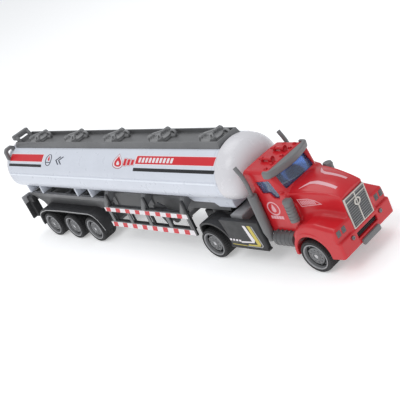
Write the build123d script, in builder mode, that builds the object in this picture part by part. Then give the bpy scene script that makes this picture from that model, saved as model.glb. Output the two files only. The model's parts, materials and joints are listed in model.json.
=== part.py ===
from build123d import *
import math
import os

# Toy articulated tanker truck: a conventional cab tractor and a three-axle tank trailer.
# +X is forward, +Y is the truck's left, +Z is up, and the tyres stand on z = 0.
# The origin is the centre of the footprint. Side profiles are drawn from the kingpin.

# Driving dimensions, millimetres
overall_length = 375.0
kingpin_to_front = 123.5
kingpin_x = overall_length / 2 - kingpin_to_front
wall = 1.6
fit_gap = 0.05

# Wheels
tyre_radius = 12.0
tyre_width = 13.6
rim_radius = 9.4
axle_radius = 1.5
wheel_gauge = 25.9
trailer_gauge = 26.8
front_axle_x = 95.8
drive_axle_x = 0.0
trailer_axle_xs = (-149.5, -182.0, -214.6)

# Tank
tank_rear_x = -244.0
tank_front_x = 33.0
tank_length = tank_front_x - tank_rear_x
tank_z = 61.5
tank_half_width = 26.0
tank_half_height = 22.3
tank_crease = 0.5
tank_deck_z = 81.2
front_cap_depth = 19.0
rear_cap_depth = overall_length - kingpin_to_front + tank_rear_x
rail_top_z = 40.0
gusset_xs = (-238.0, -217.0, -161.0, -140.0)

# Catwalk
tray_rear_x = -238.6
tray_front_x = 32.4
tray_half_width = 11.0
tray_height = 4.6
tray_floor = 1.0
manhole_pitch = 57.0
manhole_first_x = 19.0
manhole_count = 5

# Trailer frame
spine_half_width = 8.0
neck_half_width = 13.0
neck_z = 33.0
neck_front_x = 18.0
frame_rear_x = -241.0
guard_y = 26.4
guard_rear_x = -118.0
guard_front_x = -13.6
strut_xs = (-113.5, -65.0, -19.0)
flap_x = -246.4

# Tractor
chassis_half_width = 9.0
chassis_low_z = 14.0
chassis_top_z = 28.6
fifth_wheel_top_z = 32.6
kingpin_radius = 2.5
cab_rear_x = 53.8
cab_half_width = 19.3
cab_low_z = 24.6
roof_z = 69.8
glass_low = (83.4, 54.2)
glass_high = (77.3, 66.4)
cowl_x = 88.0
bonnet_low_z = 24.2
nose_x = 120.6
bumper_front_x = 122.0
lamp_ys = (-22.5, -17.5, 17.5, 22.5)
body_half_width = 26.2
arch_x = 96.6
arch_z = 13.6
arch_radius = 13.8
stack_x = 58.4
stack_y = 23.2

side = Plane(origin=(kingpin_x, 0, 0), x_dir=(1, 0, 0), z_dir=(0, -1, 0))

os.makedirs("parts", exist_ok=True)


def top(z):
    """Horizontal plane at height z, with its origin over the kingpin."""
    return Plane(origin=(kingpin_x, 0, z), x_dir=(1, 0, 0), z_dir=(0, 0, 1))


def section(x):
    """Cross-section plane x ahead of the kingpin, with local X to the truck's left."""
    return Plane(origin=(kingpin_x + x, 0, 0), x_dir=(0, 1, 0), z_dir=(1, 0, 0))


def block(low, high, mode=Mode.ADD):
    """A box between two corners, x measured from the kingpin."""
    size = [b - a for a, b in zip(low, high)]
    middle = [(a + b) / 2 for a, b in zip(low, high)]
    with Locations((kingpin_x + middle[0], middle[1], middle[2])):
        Box(*size, mode=mode)


def pair_of_blocks(low, high, mode=Mode.ADD):
    """The same box on the right side and on the left side."""
    block(low, high, mode)
    block((low[0], -high[1], low[2]), (high[0], -low[1], high[2]), mode)


def side_slab(points, near, far, mode=Mode.ADD):
    """A side profile extruded between two distances from the centre plane, on the right side."""
    with BuildSketch(side.offset(near)) as profile:
        with BuildLine():
            Polyline(*points, close=True)
        make_face()
    extrude(profile.sketch, amount=far - near, mode=mode)


def finish(piece, name):
    """Label a finished piece and write its file."""
    piece.part.label = name
    export_step(piece.part, f"parts/{name}.step")


# Wheels: a tyre and a rim are turned about Y at the origin, then placed in pairs.


def make_tyre():
    """A tyre with chamfered shoulders and three tread grooves, outer face at y = 0."""
    shoulder = 1.3
    with BuildPart() as tyre:
        with BuildSketch(Plane.XY):
            with BuildLine():
                Polyline(
                    (rim_radius, -tyre_width),
                    (rim_radius, -0.5),
                    (rim_radius + 0.5, 0),
                    (tyre_radius - shoulder, 0),
                    (tyre_radius - 0.3, -0.8),
                    (tyre_radius, -2.0),
                    (tyre_radius, -tyre_width + 2.0),
                    (tyre_radius - 0.3, -tyre_width + 0.8),
                    (tyre_radius - shoulder, -tyre_width),
                    close=True,
                )
            make_face()
            for groove_y in (4.4, tyre_width / 2, tyre_width - 4.4):
                with Locations((tyre_radius, -groove_y)):
                    Rectangle(0.8, 0.6, mode=Mode.SUBTRACT)
        revolve(axis=Axis.Y)
    return tyre.part


def make_rim():
    """A wheel centre with an outer ring, a recessed dish, bolt studs and a hub, face at y = 0."""
    stud_ring = 4.0
    with BuildPart() as rim:
        with BuildSketch(Plane.XY):
            with BuildLine():
                Polyline(
                    (axle_radius, -tyre_width + 1.0),
                    (axle_radius, -0.4),
                    (2.0, -0.4),
                    (2.3, -1.1),
                    (3.0, -1.5),
                    (5.2, -1.5),
                    (5.6, -2.4),
                    (7.3, -2.8),
                    (8.3, -1.0),
                    (8.5, 0.2),
                    (rim_radius - 0.2, 0.2),
                    (rim_radius, 0),
                    (rim_radius, -tyre_width),
                    (rim_radius - 1.2, -tyre_width),
                    (rim_radius - 1.2, -tyre_width + 6.0),
                    (3.2, -tyre_width + 6.0),
                    (3.2, -tyre_width + 1.0),
                    close=True,
                )
            make_face()
        revolve(axis=Axis.Y)
        with BuildSketch(Plane.XZ.offset(0.8)):
            with PolarLocations(stud_ring, 8):
                Circle(0.55)
        extrude(amount=1.2)
        with BuildSketch(Plane.XZ.offset(-1.0)):
            with PolarLocations(6.5, 8, start_angle=22.5):
                Circle(0.7)
        extrude(amount=12, mode=Mode.SUBTRACT)
    return rim.part


tyre_shape = make_tyre()
rim_shape = make_rim()


def wheel_pair(shape, x, gauge):
    """One shape at both ends of an axle, outer faces at the gauge."""
    with BuildPart() as pair:
        left = shape.moved(Location((kingpin_x + x, gauge, tyre_radius)))
        add(left)
        mirror(left, about=Plane.XZ)
    return pair


def make_wheel_set(prefix, x, gauge):
    """Axle pin, two rims and two tyres: three nodes that turn together."""
    tyres = wheel_pair(tyre_shape, x, gauge)
    finish(tyres, f"{prefix}_tyres")
    rims = wheel_pair(rim_shape, x, gauge)
    finish(rims, f"{prefix}_rims")
    with BuildPart() as axle:
        with BuildSketch(side):
            with Locations((x, tyre_radius)):
                Circle(axle_radius)
        extrude(amount=gauge - 0.6, both=True)
    finish(axle, f"{prefix}_axle")


make_wheel_set("front", front_axle_x, wheel_gauge)
make_wheel_set("drive", drive_axle_x, wheel_gauge)
for number, axle_x in enumerate(trailer_axle_xs, start=1):
    make_wheel_set(f"trailer_{number}", axle_x, trailer_gauge)


# Tank: an oval shell with a crease along its waist, closed by two domed caps.


def tank_face(x, inset):
    """Sketch of the tank's section at x, shrunk by inset, flat where the catwalk sits."""
    with BuildSketch(section(x)) as face:
        with BuildLine():
            upper_half = tank_half_width - inset
            lower_half = upper_half - tank_crease
            height = tank_half_height - inset
            EllipticalCenterArc((0, tank_z), upper_half, height, 0, arc_size=180)
            Line((-upper_half, tank_z), (-lower_half, tank_z))
            EllipticalCenterArc((0, tank_z), lower_half, height, 180, arc_size=180)
            Line((lower_half, tank_z), (upper_half, tank_z))
        make_face()
        with Locations((0, tank_deck_z - inset + 10)):
            Rectangle(2 * tank_half_width, 20, mode=Mode.SUBTRACT)
    return face.sketch


def tank_prism(start_x, length, inset, mode=Mode.ADD):
    """The tank's section run from start_x for a length along the truck."""
    extrude(tank_face(start_x, inset), amount=length, mode=mode)


saddle_low = 38.4
with BuildPart() as tank_shell:
    tank_prism(tank_rear_x, tank_length, 0)
    saddle = [
        (-20.0, 50.0),
        (-19.0, 45.0),
        (-13.0, 41.4),
        (9.0, 41.4),
        (13.0, saddle_low),
        (29.0, saddle_low),
        (29.0, 50.0),
    ]
    with BuildSketch(side):
        with BuildLine():
            Polyline(*saddle, close=True)
        make_face()
    extrude(amount=17.0, both=True)
    for gusset_x in gusset_xs:
        pair_of_blocks((gusset_x - 0.8, -20.0, rail_top_z), (gusset_x + 0.8, -9.0, 52.0))
    tank_prism(tank_rear_x, tank_length, wall, Mode.SUBTRACT)
finish(tank_shell, "tank_shell")


squeeze = tank_half_height / tank_half_width
cap_axis_z = tank_z / squeeze
cap_fullness = 2.8
spigot_length = 4.0
spigot_radius = tank_half_width - tank_crease - wall - 2 * fit_gap


def dome_points(start_x, depth, radius):
    """Points on a dished end from its rim to its middle; the outline is a superellipse."""
    points = []
    for degrees in (0, 15, 30, 45, 60, 75, 90):
        along = math.sin(math.radians(degrees)) ** (2 / cap_fullness)
        across = abs(math.cos(math.radians(degrees))) ** (2 / cap_fullness)
        points.append((start_x + depth * along, cap_axis_z + radius * across))
    points[-1] = (start_x + depth, cap_axis_z)
    return points


def make_cap(start_x, depth):
    """A hollow domed cap with a spigot that plugs into the shell, turned round and then squeezed oval."""
    inward = -math.copysign(1, depth)
    thick = 2 * wall
    outer = dome_points(start_x, depth, tank_half_width)
    inner = dome_points(start_x, depth + inward * thick, spigot_radius - wall)
    spigot_end = start_x + inward * spigot_length
    with BuildPart() as cap:
        with BuildSketch(side) as profile:
            with BuildLine():
                Spline(*outer, tangents=[(-inward, 0), (0, -1)])
                Line(outer[-1], inner[-1])
                Spline(*reversed(inner), tangents=[(0, 1), (inward, 0)])
                Polyline(
                    inner[0],
                    (spigot_end, cap_axis_z + spigot_radius - wall),
                    (spigot_end, cap_axis_z + spigot_radius),
                    (start_x, cap_axis_z + spigot_radius),
                    outer[0],
                )
            make_face()
        revolve(profile.sketch, axis=Axis((0, 0, cap_axis_z), (1, 0, 0)), revolution_arc=360)
        scale(by=(1, 1, squeeze), mode=Mode.REPLACE)
        ends = sorted((start_x, start_x + inward * (spigot_length + 1)))
        block((ends[0], -20, tank_deck_z - wall - fit_gap), (ends[1], 20, 90), Mode.SUBTRACT)
    return cap


finish(make_cap(tank_front_x, front_cap_depth), "tank_front_cap")
finish(make_cap(tank_rear_x, -rear_cap_depth), "tank_rear_cap")

# Catwalk tray along the top of the tank, with raised borders
tray_middle_x = (tray_rear_x + tray_front_x) / 2
tray_length = tray_front_x - tray_rear_x
border = 1.3
with BuildPart() as catwalk_tray:
    with BuildSketch(top(tank_deck_z)):
        with Locations((tray_middle_x, 0)):
            Rectangle(tray_length, 2 * tray_half_width)
    extrude(amount=tray_height, taper=15)
    with BuildSketch(top(tank_deck_z + tray_floor)):
        with Locations((tray_middle_x, 0)):
            Rectangle(tray_length - 2 * border - 0.5, 2 * (tray_half_width - border) - 0.5)
    extrude(amount=tray_height, taper=15, mode=Mode.SUBTRACT)
finish(catwalk_tray, "catwalk_tray")

# Manholes: a round base with lugs, a domed lid, a hinge, clamps and a lifting loop
lid_z = tank_deck_z + tray_floor


def make_manhole(x):
    """One manhole standing on the tray floor."""
    with BuildPart() as manhole:
        with BuildSketch(top(lid_z)):
            with Locations((x, 0)):
                Circle(6.6)
        extrude(amount=1.6)
        with BuildSketch(top(lid_z + 1.6)):
            with Locations((x, 0)):
                Circle(5.4)
        extrude(amount=1.5)
        chamfer(manhole.edges().group_by(Axis.Z)[-1], length=0.7)
        with BuildSketch(top(lid_z + 3.1)):
            with Locations((x, 0)):
                Circle(2.3)
        extrude(amount=0.9)
        with BuildSketch(top(lid_z + 0.8)):
            with Locations((x, 0)):
                with PolarLocations(6.2, 6, start_angle=30):
                    Rectangle(3.0, 1.8)
        extrude(amount=2.0)
        block((x - 5.6, -1.0, lid_z + 2.0), (x + 1.0, 1.0, lid_z + 6.0))
        block((x + 7.6, 0.6, lid_z), (x + 9.0, 2.2, lid_z + 5.0))
        block((x + 7.6, 4.6, lid_z), (x + 9.0, 6.2, lid_z + 5.0))
        block((x + 7.6, 0.6, lid_z + 4.6), (x + 9.0, 6.2, lid_z + 6.2))
        block((x + 5.0, -2.2, lid_z), (x + 10.4, 7.0, lid_z + 0.7))
    return manhole


for number in range(manhole_count):
    manhole = make_manhole(manhole_first_x - number * manhole_pitch)
    finish(manhole, f"manhole_{number + 1}")

# Rear rails: a handrail that leans back over the tray's tail, and a grab hoop on the right shoulder
rail_x = -239.6
rail_z = 89.5
rail_leg = [
    (-233.4, tank_deck_z + tray_floor),
    (-235.7, tank_deck_z + tray_floor),
    (-235.9, 86.2),
    (-239.8, 89.2),
    (-238.4, 91.2),
    (-234.2, 88.0),
    (-233.4, 86.4),
]
hoop_outline = [
    (-12.4, 81.2),
    (-12.4, 83.8),
    (-13.8, 85.4),
    (-20.2, 85.4),
    (-21.6, 83.8),
    (-21.6, 74.0),
    (-19.4, 76.45),
    (-19.4, 83.0),
    (-14.8, 83.0),
    (-14.8, 79.95),
]
with BuildPart() as rear_rails:
    side_slab(rail_leg, 5.8, 8.2)
    side_slab(rail_leg, -8.2, -5.8)
    with BuildSketch(side):
        with Locations((rail_x, rail_z)):
            Circle(2.3)
    extrude(amount=8.8, both=True)
    with BuildSketch(section(tank_rear_x + 1.2)):
        with BuildLine():
            Polyline(*hoop_outline, close=True)
        make_face()
    extrude(amount=2.4)
finish(rear_rails, "rear_rails")

# Screws driven from below: two into the trailer's spine and two into the cab floor
screw_radius = 1.1


def screws(places, seat_z, length):
    """Round-head screws driven upwards, head under seat_z, with a cross recess."""
    with BuildPart() as group:
        for x, y in places:
            with BuildSketch(top(seat_z - 1.0)):
                with Locations((x, y)):
                    Circle(2 * screw_radius)
            extrude(amount=1.0)
            with BuildSketch(top(seat_z)):
                with Locations((x, y)):
                    Circle(screw_radius)
            extrude(amount=length)
            with BuildSketch(top(seat_z - 1.0)):
                with Locations((x, y)):
                    Rectangle(2.4, 0.5)
                    Rectangle(0.5, 2.4)
            extrude(amount=0.6, mode=Mode.SUBTRACT)
    return group


trailer_screw_seat = 20.0
trailer_screws = screws([(-198.3, 0.0), (-165.8, 0.0)], trailer_screw_seat, 11.0)
finish(trailer_screws, "trailer_screws")
cab_screw_places = [(70.0, -4.6), (70.0, 4.6)]
cab_screw_seat = 21.6
cab_screws = screws(cab_screw_places, cab_screw_seat, 5.0)
finish(cab_screws, "cab_screws")

# Trailer frame: a spine and neck down the middle, side rails, and leaning inner panels
with BuildPart() as trailer_frame:
    block((frame_rear_x, -spine_half_width, 28.0), (-30.0, spine_half_width, 40.0))
    neck = [
        (-34.0, 40.0),
        (-34.0, 28.0),
        (-30.0, 28.0),
        (-24.0, neck_z),
        (neck_front_x, neck_z),
        (neck_front_x, saddle_low),
        (13.0, saddle_low),
        (9.0, 41.4),
        (-13.0, 41.4),
        (-19.0, 44.0),
        (-30.0, 44.0),
    ]
    with BuildSketch(side):
        with BuildLine():
            Polyline(*neck, close=True)
        make_face()
    extrude(amount=neck_half_width, both=True)
    for sign in (-1, 1):
        block((frame_rear_x, sign * 18.5 - 1.5, 37.0), (-122.0, sign * 18.5 + 1.5, rail_top_z))
    for x in (frame_rear_x, -217.8, -188.0, -161.8, -125.0):
        block((x, -18.5, 37.0), (x + 3.0, 18.5, 39.0))
    panel = [(13.2, 28.0), (17.0, 37.0), (19.0, 37.0), (14.8, 27.6), (12.0, 27.6), (12.0, 28.0)]
    for sign in (-1, 1):
        with BuildSketch(section(-236.0)):
            with BuildLine():
                Polyline(*[(sign * y, z) for y, z in panel], close=True)
            make_face()
        extrude(amount=112.0)
    block((-232.0, -12.4, 27.6), (-134.0, 12.4, 29.0))
    for sign in (-1, 1):
        inner, outer = sorted((sign * 12.0, sign * 14.0))
        block((-122.0, inner, 24.0), (-30.0, outer, 44.0))
        for pocket_x in (-117.0, -68.0):
            inner, outer = sorted((sign * 13.0, sign * 14.5))
            block((pocket_x, inner, 27.0), (pocket_x + 33.0, outer, 41.0), Mode.SUBTRACT)
    for x in (-122.0, -92.0, -62.0, -34.0):
        block((x, -12.5, 25.0), (x + 4.0, 12.5, 38.0))
    tank_prism(tank_rear_x, tank_length, -0.02, Mode.SUBTRACT)
    with BuildSketch(top(neck_z - 1)):
        Circle(kingpin_radius)
    extrude(amount=5.0, mode=Mode.SUBTRACT)
    add(trailer_screws.part, mode=Mode.SUBTRACT)
finish(trailer_frame, "trailer_frame")

# Bogie block: carries the three trailer axles under the spine
with BuildPart() as bogie_block:
    bogie = [
        (-228.0, 27.6),
        (-228.0, 12.0),
        (-222.0, 7.0),
        (-142.0, 7.0),
        (-136.0, 12.0),
        (-136.0, 27.6),
    ]
    with BuildSketch(side):
        with BuildLine():
            Polyline(*bogie, close=True)
        make_face()
    extrude(amount=8.0, both=True)
    for axle_x in trailer_axle_xs:
        with BuildSketch(side):
            with Locations((axle_x, tyre_radius)):
                Circle(axle_radius + fit_gap)
        extrude(amount=12.0, both=True, mode=Mode.SUBTRACT)
    for x in (-206.0, -173.5):
        block((x, -6.4, 4.0), (x + 15.0, 6.4, trailer_screw_seat), Mode.SUBTRACT)
    add(trailer_screws.part, mode=Mode.SUBTRACT)
finish(bogie_block, "bogie_block")

# Trailer fenders: one long arched shell over three wheels on each side
fender_inner = 14.9
fender_outer = 26.4
with BuildPart() as trailer_fender_right:
    with BuildSketch(side.offset(fender_inner)):
        with BuildLine():
            Polyline((-232.2, 10.6), (-231.4, 19.6))
            RadiusArc((-231.4, 19.6), (-216.0, 27.5), 16.0)
            Line((-216.0, 27.5), (-149.0, 27.5))
            RadiusArc((-149.0, 27.5), (-136.4, 19.6), 14.0)
            Line((-136.4, 19.6), (-133.8, 10.6))
            offset(amount=1.3, side=Side.RIGHT)
        make_face()
    extrude(amount=fender_outer - fender_inner)
finish(trailer_fender_right, "trailer_fender_right")
with BuildPart() as trailer_fender_left:
    mirror(trailer_fender_right.part, about=Plane.XZ)
finish(trailer_fender_left, "trailer_fender_left")

# Side guards: two boards joined by uprights, with a bevelled front end
upper_board = (32.4, 36.6)
lower_board = (18.2, 23.0)
board_thickness = 1.6
with BuildPart() as side_guard_right:
    near = guard_y - board_thickness
    block((guard_rear_x + 3.0, -guard_y, upper_board[0]), (guard_front_x, -near, upper_board[1]))
    block((guard_rear_x, -guard_y, lower_board[0]), (guard_front_x, -near, lower_board[1]))
    for number in range(5):
        x = guard_rear_x + 3.0 + number * 24.2
        block((x, -guard_y + 0.4, 20.0), (x + 3.4, -near, 34.0))
    block((guard_front_x - 2.4, -guard_y, lower_board[0]), (guard_front_x, -near, 36.6))
    with BuildSketch(top(0)):
        with BuildLine():
            Polyline(
                (guard_front_x + 0.2, -guard_y + 0.2),
                (guard_front_x + 0.2, -near + 0.2),
                (guard_front_x - 2.2, -near + 0.2),
                close=True,
            )
        make_face()
    extrude(amount=60.0, mode=Mode.SUBTRACT)
finish(side_guard_right, "side_guard_right")
with BuildPart() as side_guard_left:
    mirror(side_guard_right.part, about=Plane.XZ)
finish(side_guard_left, "side_guard_left")

# Guard struts: six arms that carry the guards out from the tank
strut = [(18.6, 48.6), (20.6, 47.0), (26.4, 38.2), (26.4, 36.6), (24.8, 36.6), (24.8, 37.4), (13.6, 42.6)]
with BuildPart() as guard_struts:
    for sign in (-1, 1):
        for strut_x in strut_xs:
            with BuildSketch(section(strut_x - 2.2)):
                with BuildLine():
                    Polyline(*[(sign * y, z) for y, z in strut], close=True)
                make_face()
            extrude(amount=4.4)
    tank_prism(tank_rear_x, tank_length, -0.02, Mode.SUBTRACT)
    add(trailer_frame.part, mode=Mode.SUBTRACT)
    add(tank_shell.part, mode=Mode.SUBTRACT)
finish(guard_struts, "guard_struts")

# Landing gear: a folded V bracket on each side under the frame
with BuildPart() as landing_gear:
    for sign in (-1, 1):
        with BuildSketch(side.offset(sign * 15.4 - 1.2)):
            with BuildLine():
                Polyline(
                    (-60.0, 32.0),
                    (-55.0, 32.0),
                    (-46.0, 23.6),
                    (-37.0, 32.0),
                    (-32.0, 32.0),
                    (-44.5, 20.4),
                    (-47.5, 20.4),
                    close=True,
                )
            make_face()
        extrude(amount=2.4)
finish(landing_gear, "landing_gear")

# Rear light bar with its two lamp plates, and the mud flaps under them
with BuildPart() as rear_light_bar:
    pair_of_blocks((flap_x - 1.5, -26.4, 31.4), (flap_x, -16.9, 38.4))
    block((flap_x - 1.5, -17.0, 33.0), (flap_x, 17.0, 36.6))
    pair_of_blocks((flap_x, -8.0, 33.0), (frame_rear_x, -5.0, 36.6))
    fillet(rear_light_bar.edges().filter_by(Axis.X).group_by(Axis.Z)[-1], radius=0.8)
finish(rear_light_bar, "rear_light_bar")
with BuildPart() as mud_flap_right:
    block((flap_x - 1.3, -26.2, 15.4), (flap_x - 0.2, -17.1, 31.4))
    block((flap_x - 0.2, -21.9, 16.4), (flap_x + 0.3, -21.4, 31.0))
finish(mud_flap_right, "mud_flap_right")
with BuildPart() as mud_flap_left:
    mirror(mud_flap_right.part, about=Plane.XZ)
finish(mud_flap_left, "mud_flap_left")

# Kingpin with a retaining head, and the trailer's underside screws
pin_head_z = 24.0
with BuildPart() as kingpin:
    with BuildSketch(top(pin_head_z)):
        Circle(kingpin_radius + 1.1)
    extrude(amount=1.4)
    with BuildSketch(top(pin_head_z)):
        Circle(kingpin_radius)
    extrude(amount=neck_z + 4.0 - pin_head_z)
finish(kingpin, "kingpin")

# Tractor chassis: one black channel with axle bores, a kingpin pocket and a flat belly
with BuildPart() as tractor_chassis:
    chassis = [
        (-17.0, chassis_top_z),
        (-17.0, 19.0),
        (-12.0, chassis_low_z - 6.0),
        (12.0, chassis_low_z - 6.0),
        (18.0, chassis_low_z),
        (84.0, chassis_low_z),
        (90.0, chassis_low_z - 6.0),
        (102.0, chassis_low_z - 6.0),
        (107.0, chassis_low_z),
        (107.0, 23.6),
        (44.0, 23.6),
        (38.0, chassis_top_z),
    ]
    with BuildSketch(side):
        with BuildLine():
            Polyline(*chassis, close=True)
        make_face()
    extrude(amount=chassis_half_width, both=True)
    for axle_x in (front_axle_x, drive_axle_x):
        with BuildSketch(side):
            with Locations((axle_x, tyre_radius)):
                Circle(axle_radius + fit_gap)
        extrude(amount=12.0, both=True, mode=Mode.SUBTRACT)
    with BuildSketch(top(pin_head_z - 1.0)):
        Circle(kingpin_radius + 2.0)
    extrude(amount=10.0, mode=Mode.SUBTRACT)
    for x in (20.0, 50.0):
        block((x, -6.6, chassis_low_z - 1.0), (x + 24.0, 6.6, cab_screw_seat), Mode.SUBTRACT)
    add(cab_screws.part, mode=Mode.SUBTRACT)
finish(tractor_chassis, "tractor_chassis")

# Fifth-wheel plate: a round turntable with a running bore for the kingpin
with BuildPart() as fifth_wheel_plate:
    with BuildSketch(top(chassis_top_z)):
        Circle(12.0)
        with Locations((-11.0, 0)):
            Rectangle(10.0, 14.0)
        with Locations((-15.0, 0)):
            Rectangle(10.0, 4.0, mode=Mode.SUBTRACT)
        Circle(kingpin_radius + fit_gap, mode=Mode.SUBTRACT)
    extrude(amount=fifth_wheel_top_z - chassis_top_z)
    chamfer(fifth_wheel_plate.edges().filter_by(GeomType.CIRCLE).group_by(Axis.Z)[-1][-1:], length=0.6)
finish(fifth_wheel_plate, "fifth_wheel_plate")

# Drive-wheel fenders and side skirts: one moulding on each side
skirt_front_x = 55.0
with BuildPart() as side_skirt_right:
    with BuildSketch(side.offset(12.6)):
        with Locations((4.2, 12.0)):
            Circle(18.9)
            Circle(17.4, mode=Mode.SUBTRACT)
        with Locations((-12.0, 12.0)):
            Rectangle(12.0, 60.0, mode=Mode.SUBTRACT)
        with Locations((4.2, -4.0)):
            Rectangle(60.0, 34.0, mode=Mode.SUBTRACT)
    extrude(amount=body_half_width - 12.6)
    skirt = [
        (20.6, 13.4),
        (20.9, 21.0),
        (19.0, 30.0),
        (17.6, 34.4),
        (skirt_front_x, 34.4),
        (skirt_front_x, 13.4),
    ]
    side_slab(skirt, 22.6, body_half_width)
    side_slab([(19.8, 12.4), (19.8, 13.6), (55.8, 13.6), (55.8, 12.4)], 22.6, body_half_width + 0.2)
    side_slab([(20.8, 20.0), (20.8, 30.0), (53.4, 30.0), (53.4, 20.0)], 9.0, 22.6)
    side_slab([(23.0, 18.0), (23.0, 28.0), (51.0, 28.0), (51.0, 18.0)], 8.9, 21.0, Mode.SUBTRACT)
    side_slab([(25.6, 29.9), (25.6, 36.1), (37.2, 36.1), (37.2, 29.9)], 8.0, 21.3, Mode.SUBTRACT)
finish(side_skirt_right, "side_skirt_right")
with BuildPart() as side_skirt_left:
    mirror(side_skirt_right.part, about=Plane.XZ)
finish(side_skirt_left, "side_skirt_left")

# Deck box across the frame behind the cab
with BuildPart() as deck_box:
    block((25.8, -21.2, 30.0), (37.0, 21.2, 36.0))
    fillet(deck_box.edges().filter_by(Axis.Y).group_by(Axis.Z)[-1], radius=1.0)
    block((25.8, -8.9, chassis_top_z), (37.0, 8.9, 30.0))
finish(deck_box, "deck_box")

# Cab body: cab, bonnet, front fenders and bumper in one hollow moulding


def bonnet_section(x, half, shoulder_z, crown_z):
    """Sketch of the bonnet's section: straight sides and a crowned top."""
    with BuildSketch(section(x)) as profile:
        with BuildLine():
            Polyline((-half, shoulder_z), (-half, bonnet_low_z), (half, bonnet_low_z), (half, shoulder_z))
            ThreePointArc((half, shoulder_z), (0, crown_z), (-half, shoulder_z))
        make_face()
    return profile.sketch


glass_run = glass_high[0] - glass_low[0]
glass_rise = glass_high[1] - glass_low[1]
glass_length = math.hypot(glass_run, glass_rise)


def glass_offset(distance):
    """The windscreen's line moved inwards by a distance, as lower and upper points."""
    shift = (-glass_rise / glass_length * distance, glass_run / glass_length * distance)
    return [(p[0] + shift[0], p[1] + shift[1]) for p in (glass_low, glass_high)]


def glass_point(z, distance):
    """The point at height z on the windscreen's line moved inwards by a distance."""
    low = glass_offset(distance)[0]
    return (low[0] + (z - low[1]) * glass_run / glass_rise, z)


cab_side = [
    (cab_rear_x, cab_low_z),
    (cab_rear_x, roof_z),
    glass_point(roof_z, 0),
    glass_low,
    (cowl_x, 51.5),
    (cowl_x, cab_low_z),
]
cavity = [
    (cab_rear_x + wall, cab_low_z - 1.0),
    (cab_rear_x + wall, roof_z - wall),
    glass_point(roof_z - wall, wall),
    glass_offset(wall)[0],
    (cowl_x - 3.0, 48.0),
    (cowl_x - 3.0, cab_low_z - 1.0),
]
fender_side = [
    (82.0, 12.4),
    (82.4, 22.0),
    (84.6, 28.6),
    (88.6, 33.2),
    (94.0, 35.8),
    (102.0, 36.2),
    (111.0, 34.8),
    (119.2, 33.6),
    (120.2, 32.6),
    (120.2, 23.0),
    (110.0, 12.4),
]
side_window = [
    (62.2, 61.8),
    (75.0, 62.9),
    (79.5, 52.6),
    (78.3, 50.2),
    (73.9, 50.3),
    (71.3, 53.6),
    (64.6, 53.4),
]
with BuildPart() as cab_body:
    with BuildSketch(side):
        with BuildLine():
            Polyline(*cab_side, close=True)
        make_face()
    extrude(amount=cab_half_width, both=True)
    roof_edges = cab_body.edges().filter_by(Axis.Y).group_by(Axis.Z)[-1]
    fillet(roof_edges, radius=2.0)
    fillet(cab_body.faces().sort_by(Axis.Z)[-1].edges().filter_by(Axis.X), radius=2.0)
    bonnet = [
        bonnet_section(80.0, 17.5, 50.0, 55.0),
        bonnet_section(100.0, 14.2, 49.4, 54.0),
        bonnet_section(112.0, 11.9, 48.0, 51.6),
        bonnet_section(nose_x, 10.8, 45.8, 48.0),
    ]
    loft(bonnet)
    side_slab(fender_side, 9.0, body_half_width)
    side_slab(fender_side, -body_half_width, -9.0)
    block((109.0, -body_half_width, 12.2), (bumper_front_x, body_half_width, 24.4))
    fillet(cab_body.faces().sort_by(Axis.X)[-1].edges(), radius=1.2)
    block((110.5, -9.0, 13.4), (119.0, 9.0, 23.0), Mode.SUBTRACT)
    for sign in (-1, 1):
        with BuildSketch(side.offset(sign * 18.6 - 7.7)):
            with Locations((arch_x, arch_z)):
                Circle(arch_radius)
            with Locations((arch_x, arch_z - 10)):
                Rectangle(2 * arch_radius - 3.6, 20)
        extrude(amount=15.4, mode=Mode.SUBTRACT)
    side_slab(cavity, -cab_half_width + wall, cab_half_width - wall, Mode.SUBTRACT)
    block((cowl_x - 4.0, -9.2, 20.0), (118.8, 9.2, 44.5), Mode.SUBTRACT)
    side_slab(side_window, -cab_half_width - 1, cab_half_width + 1, Mode.SUBTRACT)
    low, high = glass_offset(-3.0)
    deep_low, deep_high = glass_offset(4.5)
    side_slab([low, high, deep_high, deep_low], -14.6, 14.6, Mode.SUBTRACT)
    block((120.0, -9.6, 17.6), (123.0, 9.6, 21.8), Mode.SUBTRACT)
    for lamp_y in lamp_ys:
        block((119.2, lamp_y - 2.0, 27.2), (121.0, lamp_y + 2.0, 31.8), Mode.SUBTRACT)
    pair_of_blocks(
        (front_axle_x - 2.0, -body_half_width, 12.0), (front_axle_x + 2.0, -9.0, 14.2), Mode.SUBTRACT
    )
finish(cab_body, "cab_body")

# Cab glazing: one clear moulding behind the window openings
pane = 1.1
glaze = fit_gap + wall
with BuildPart() as cab_glazing:
    low, high = glass_offset(glaze)
    deep_low, deep_high = glass_offset(glaze + pane)
    side_slab([low, high, deep_high, deep_low], -16.2, 16.2)
    inner_side = cab_half_width - wall - fit_gap
    side_pane = [(60.5, 49.0), (60.5, 64.4), (74.2, 64.4), (78.8, 54.2), (78.8, 49.0)]
    side_slab(side_pane, inner_side - pane, inner_side)
    mirror(about=Plane.XZ)
    block((60.5, -inner_side, 64.4), (73.6, inner_side, 65.5))
    side_slab([(73.0, 64.4), (73.0, 65.5), (75.2, 65.5), (76.0, 64.0)], -16.2, 16.2)
finish(cab_glazing, "cab_glazing")

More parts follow.
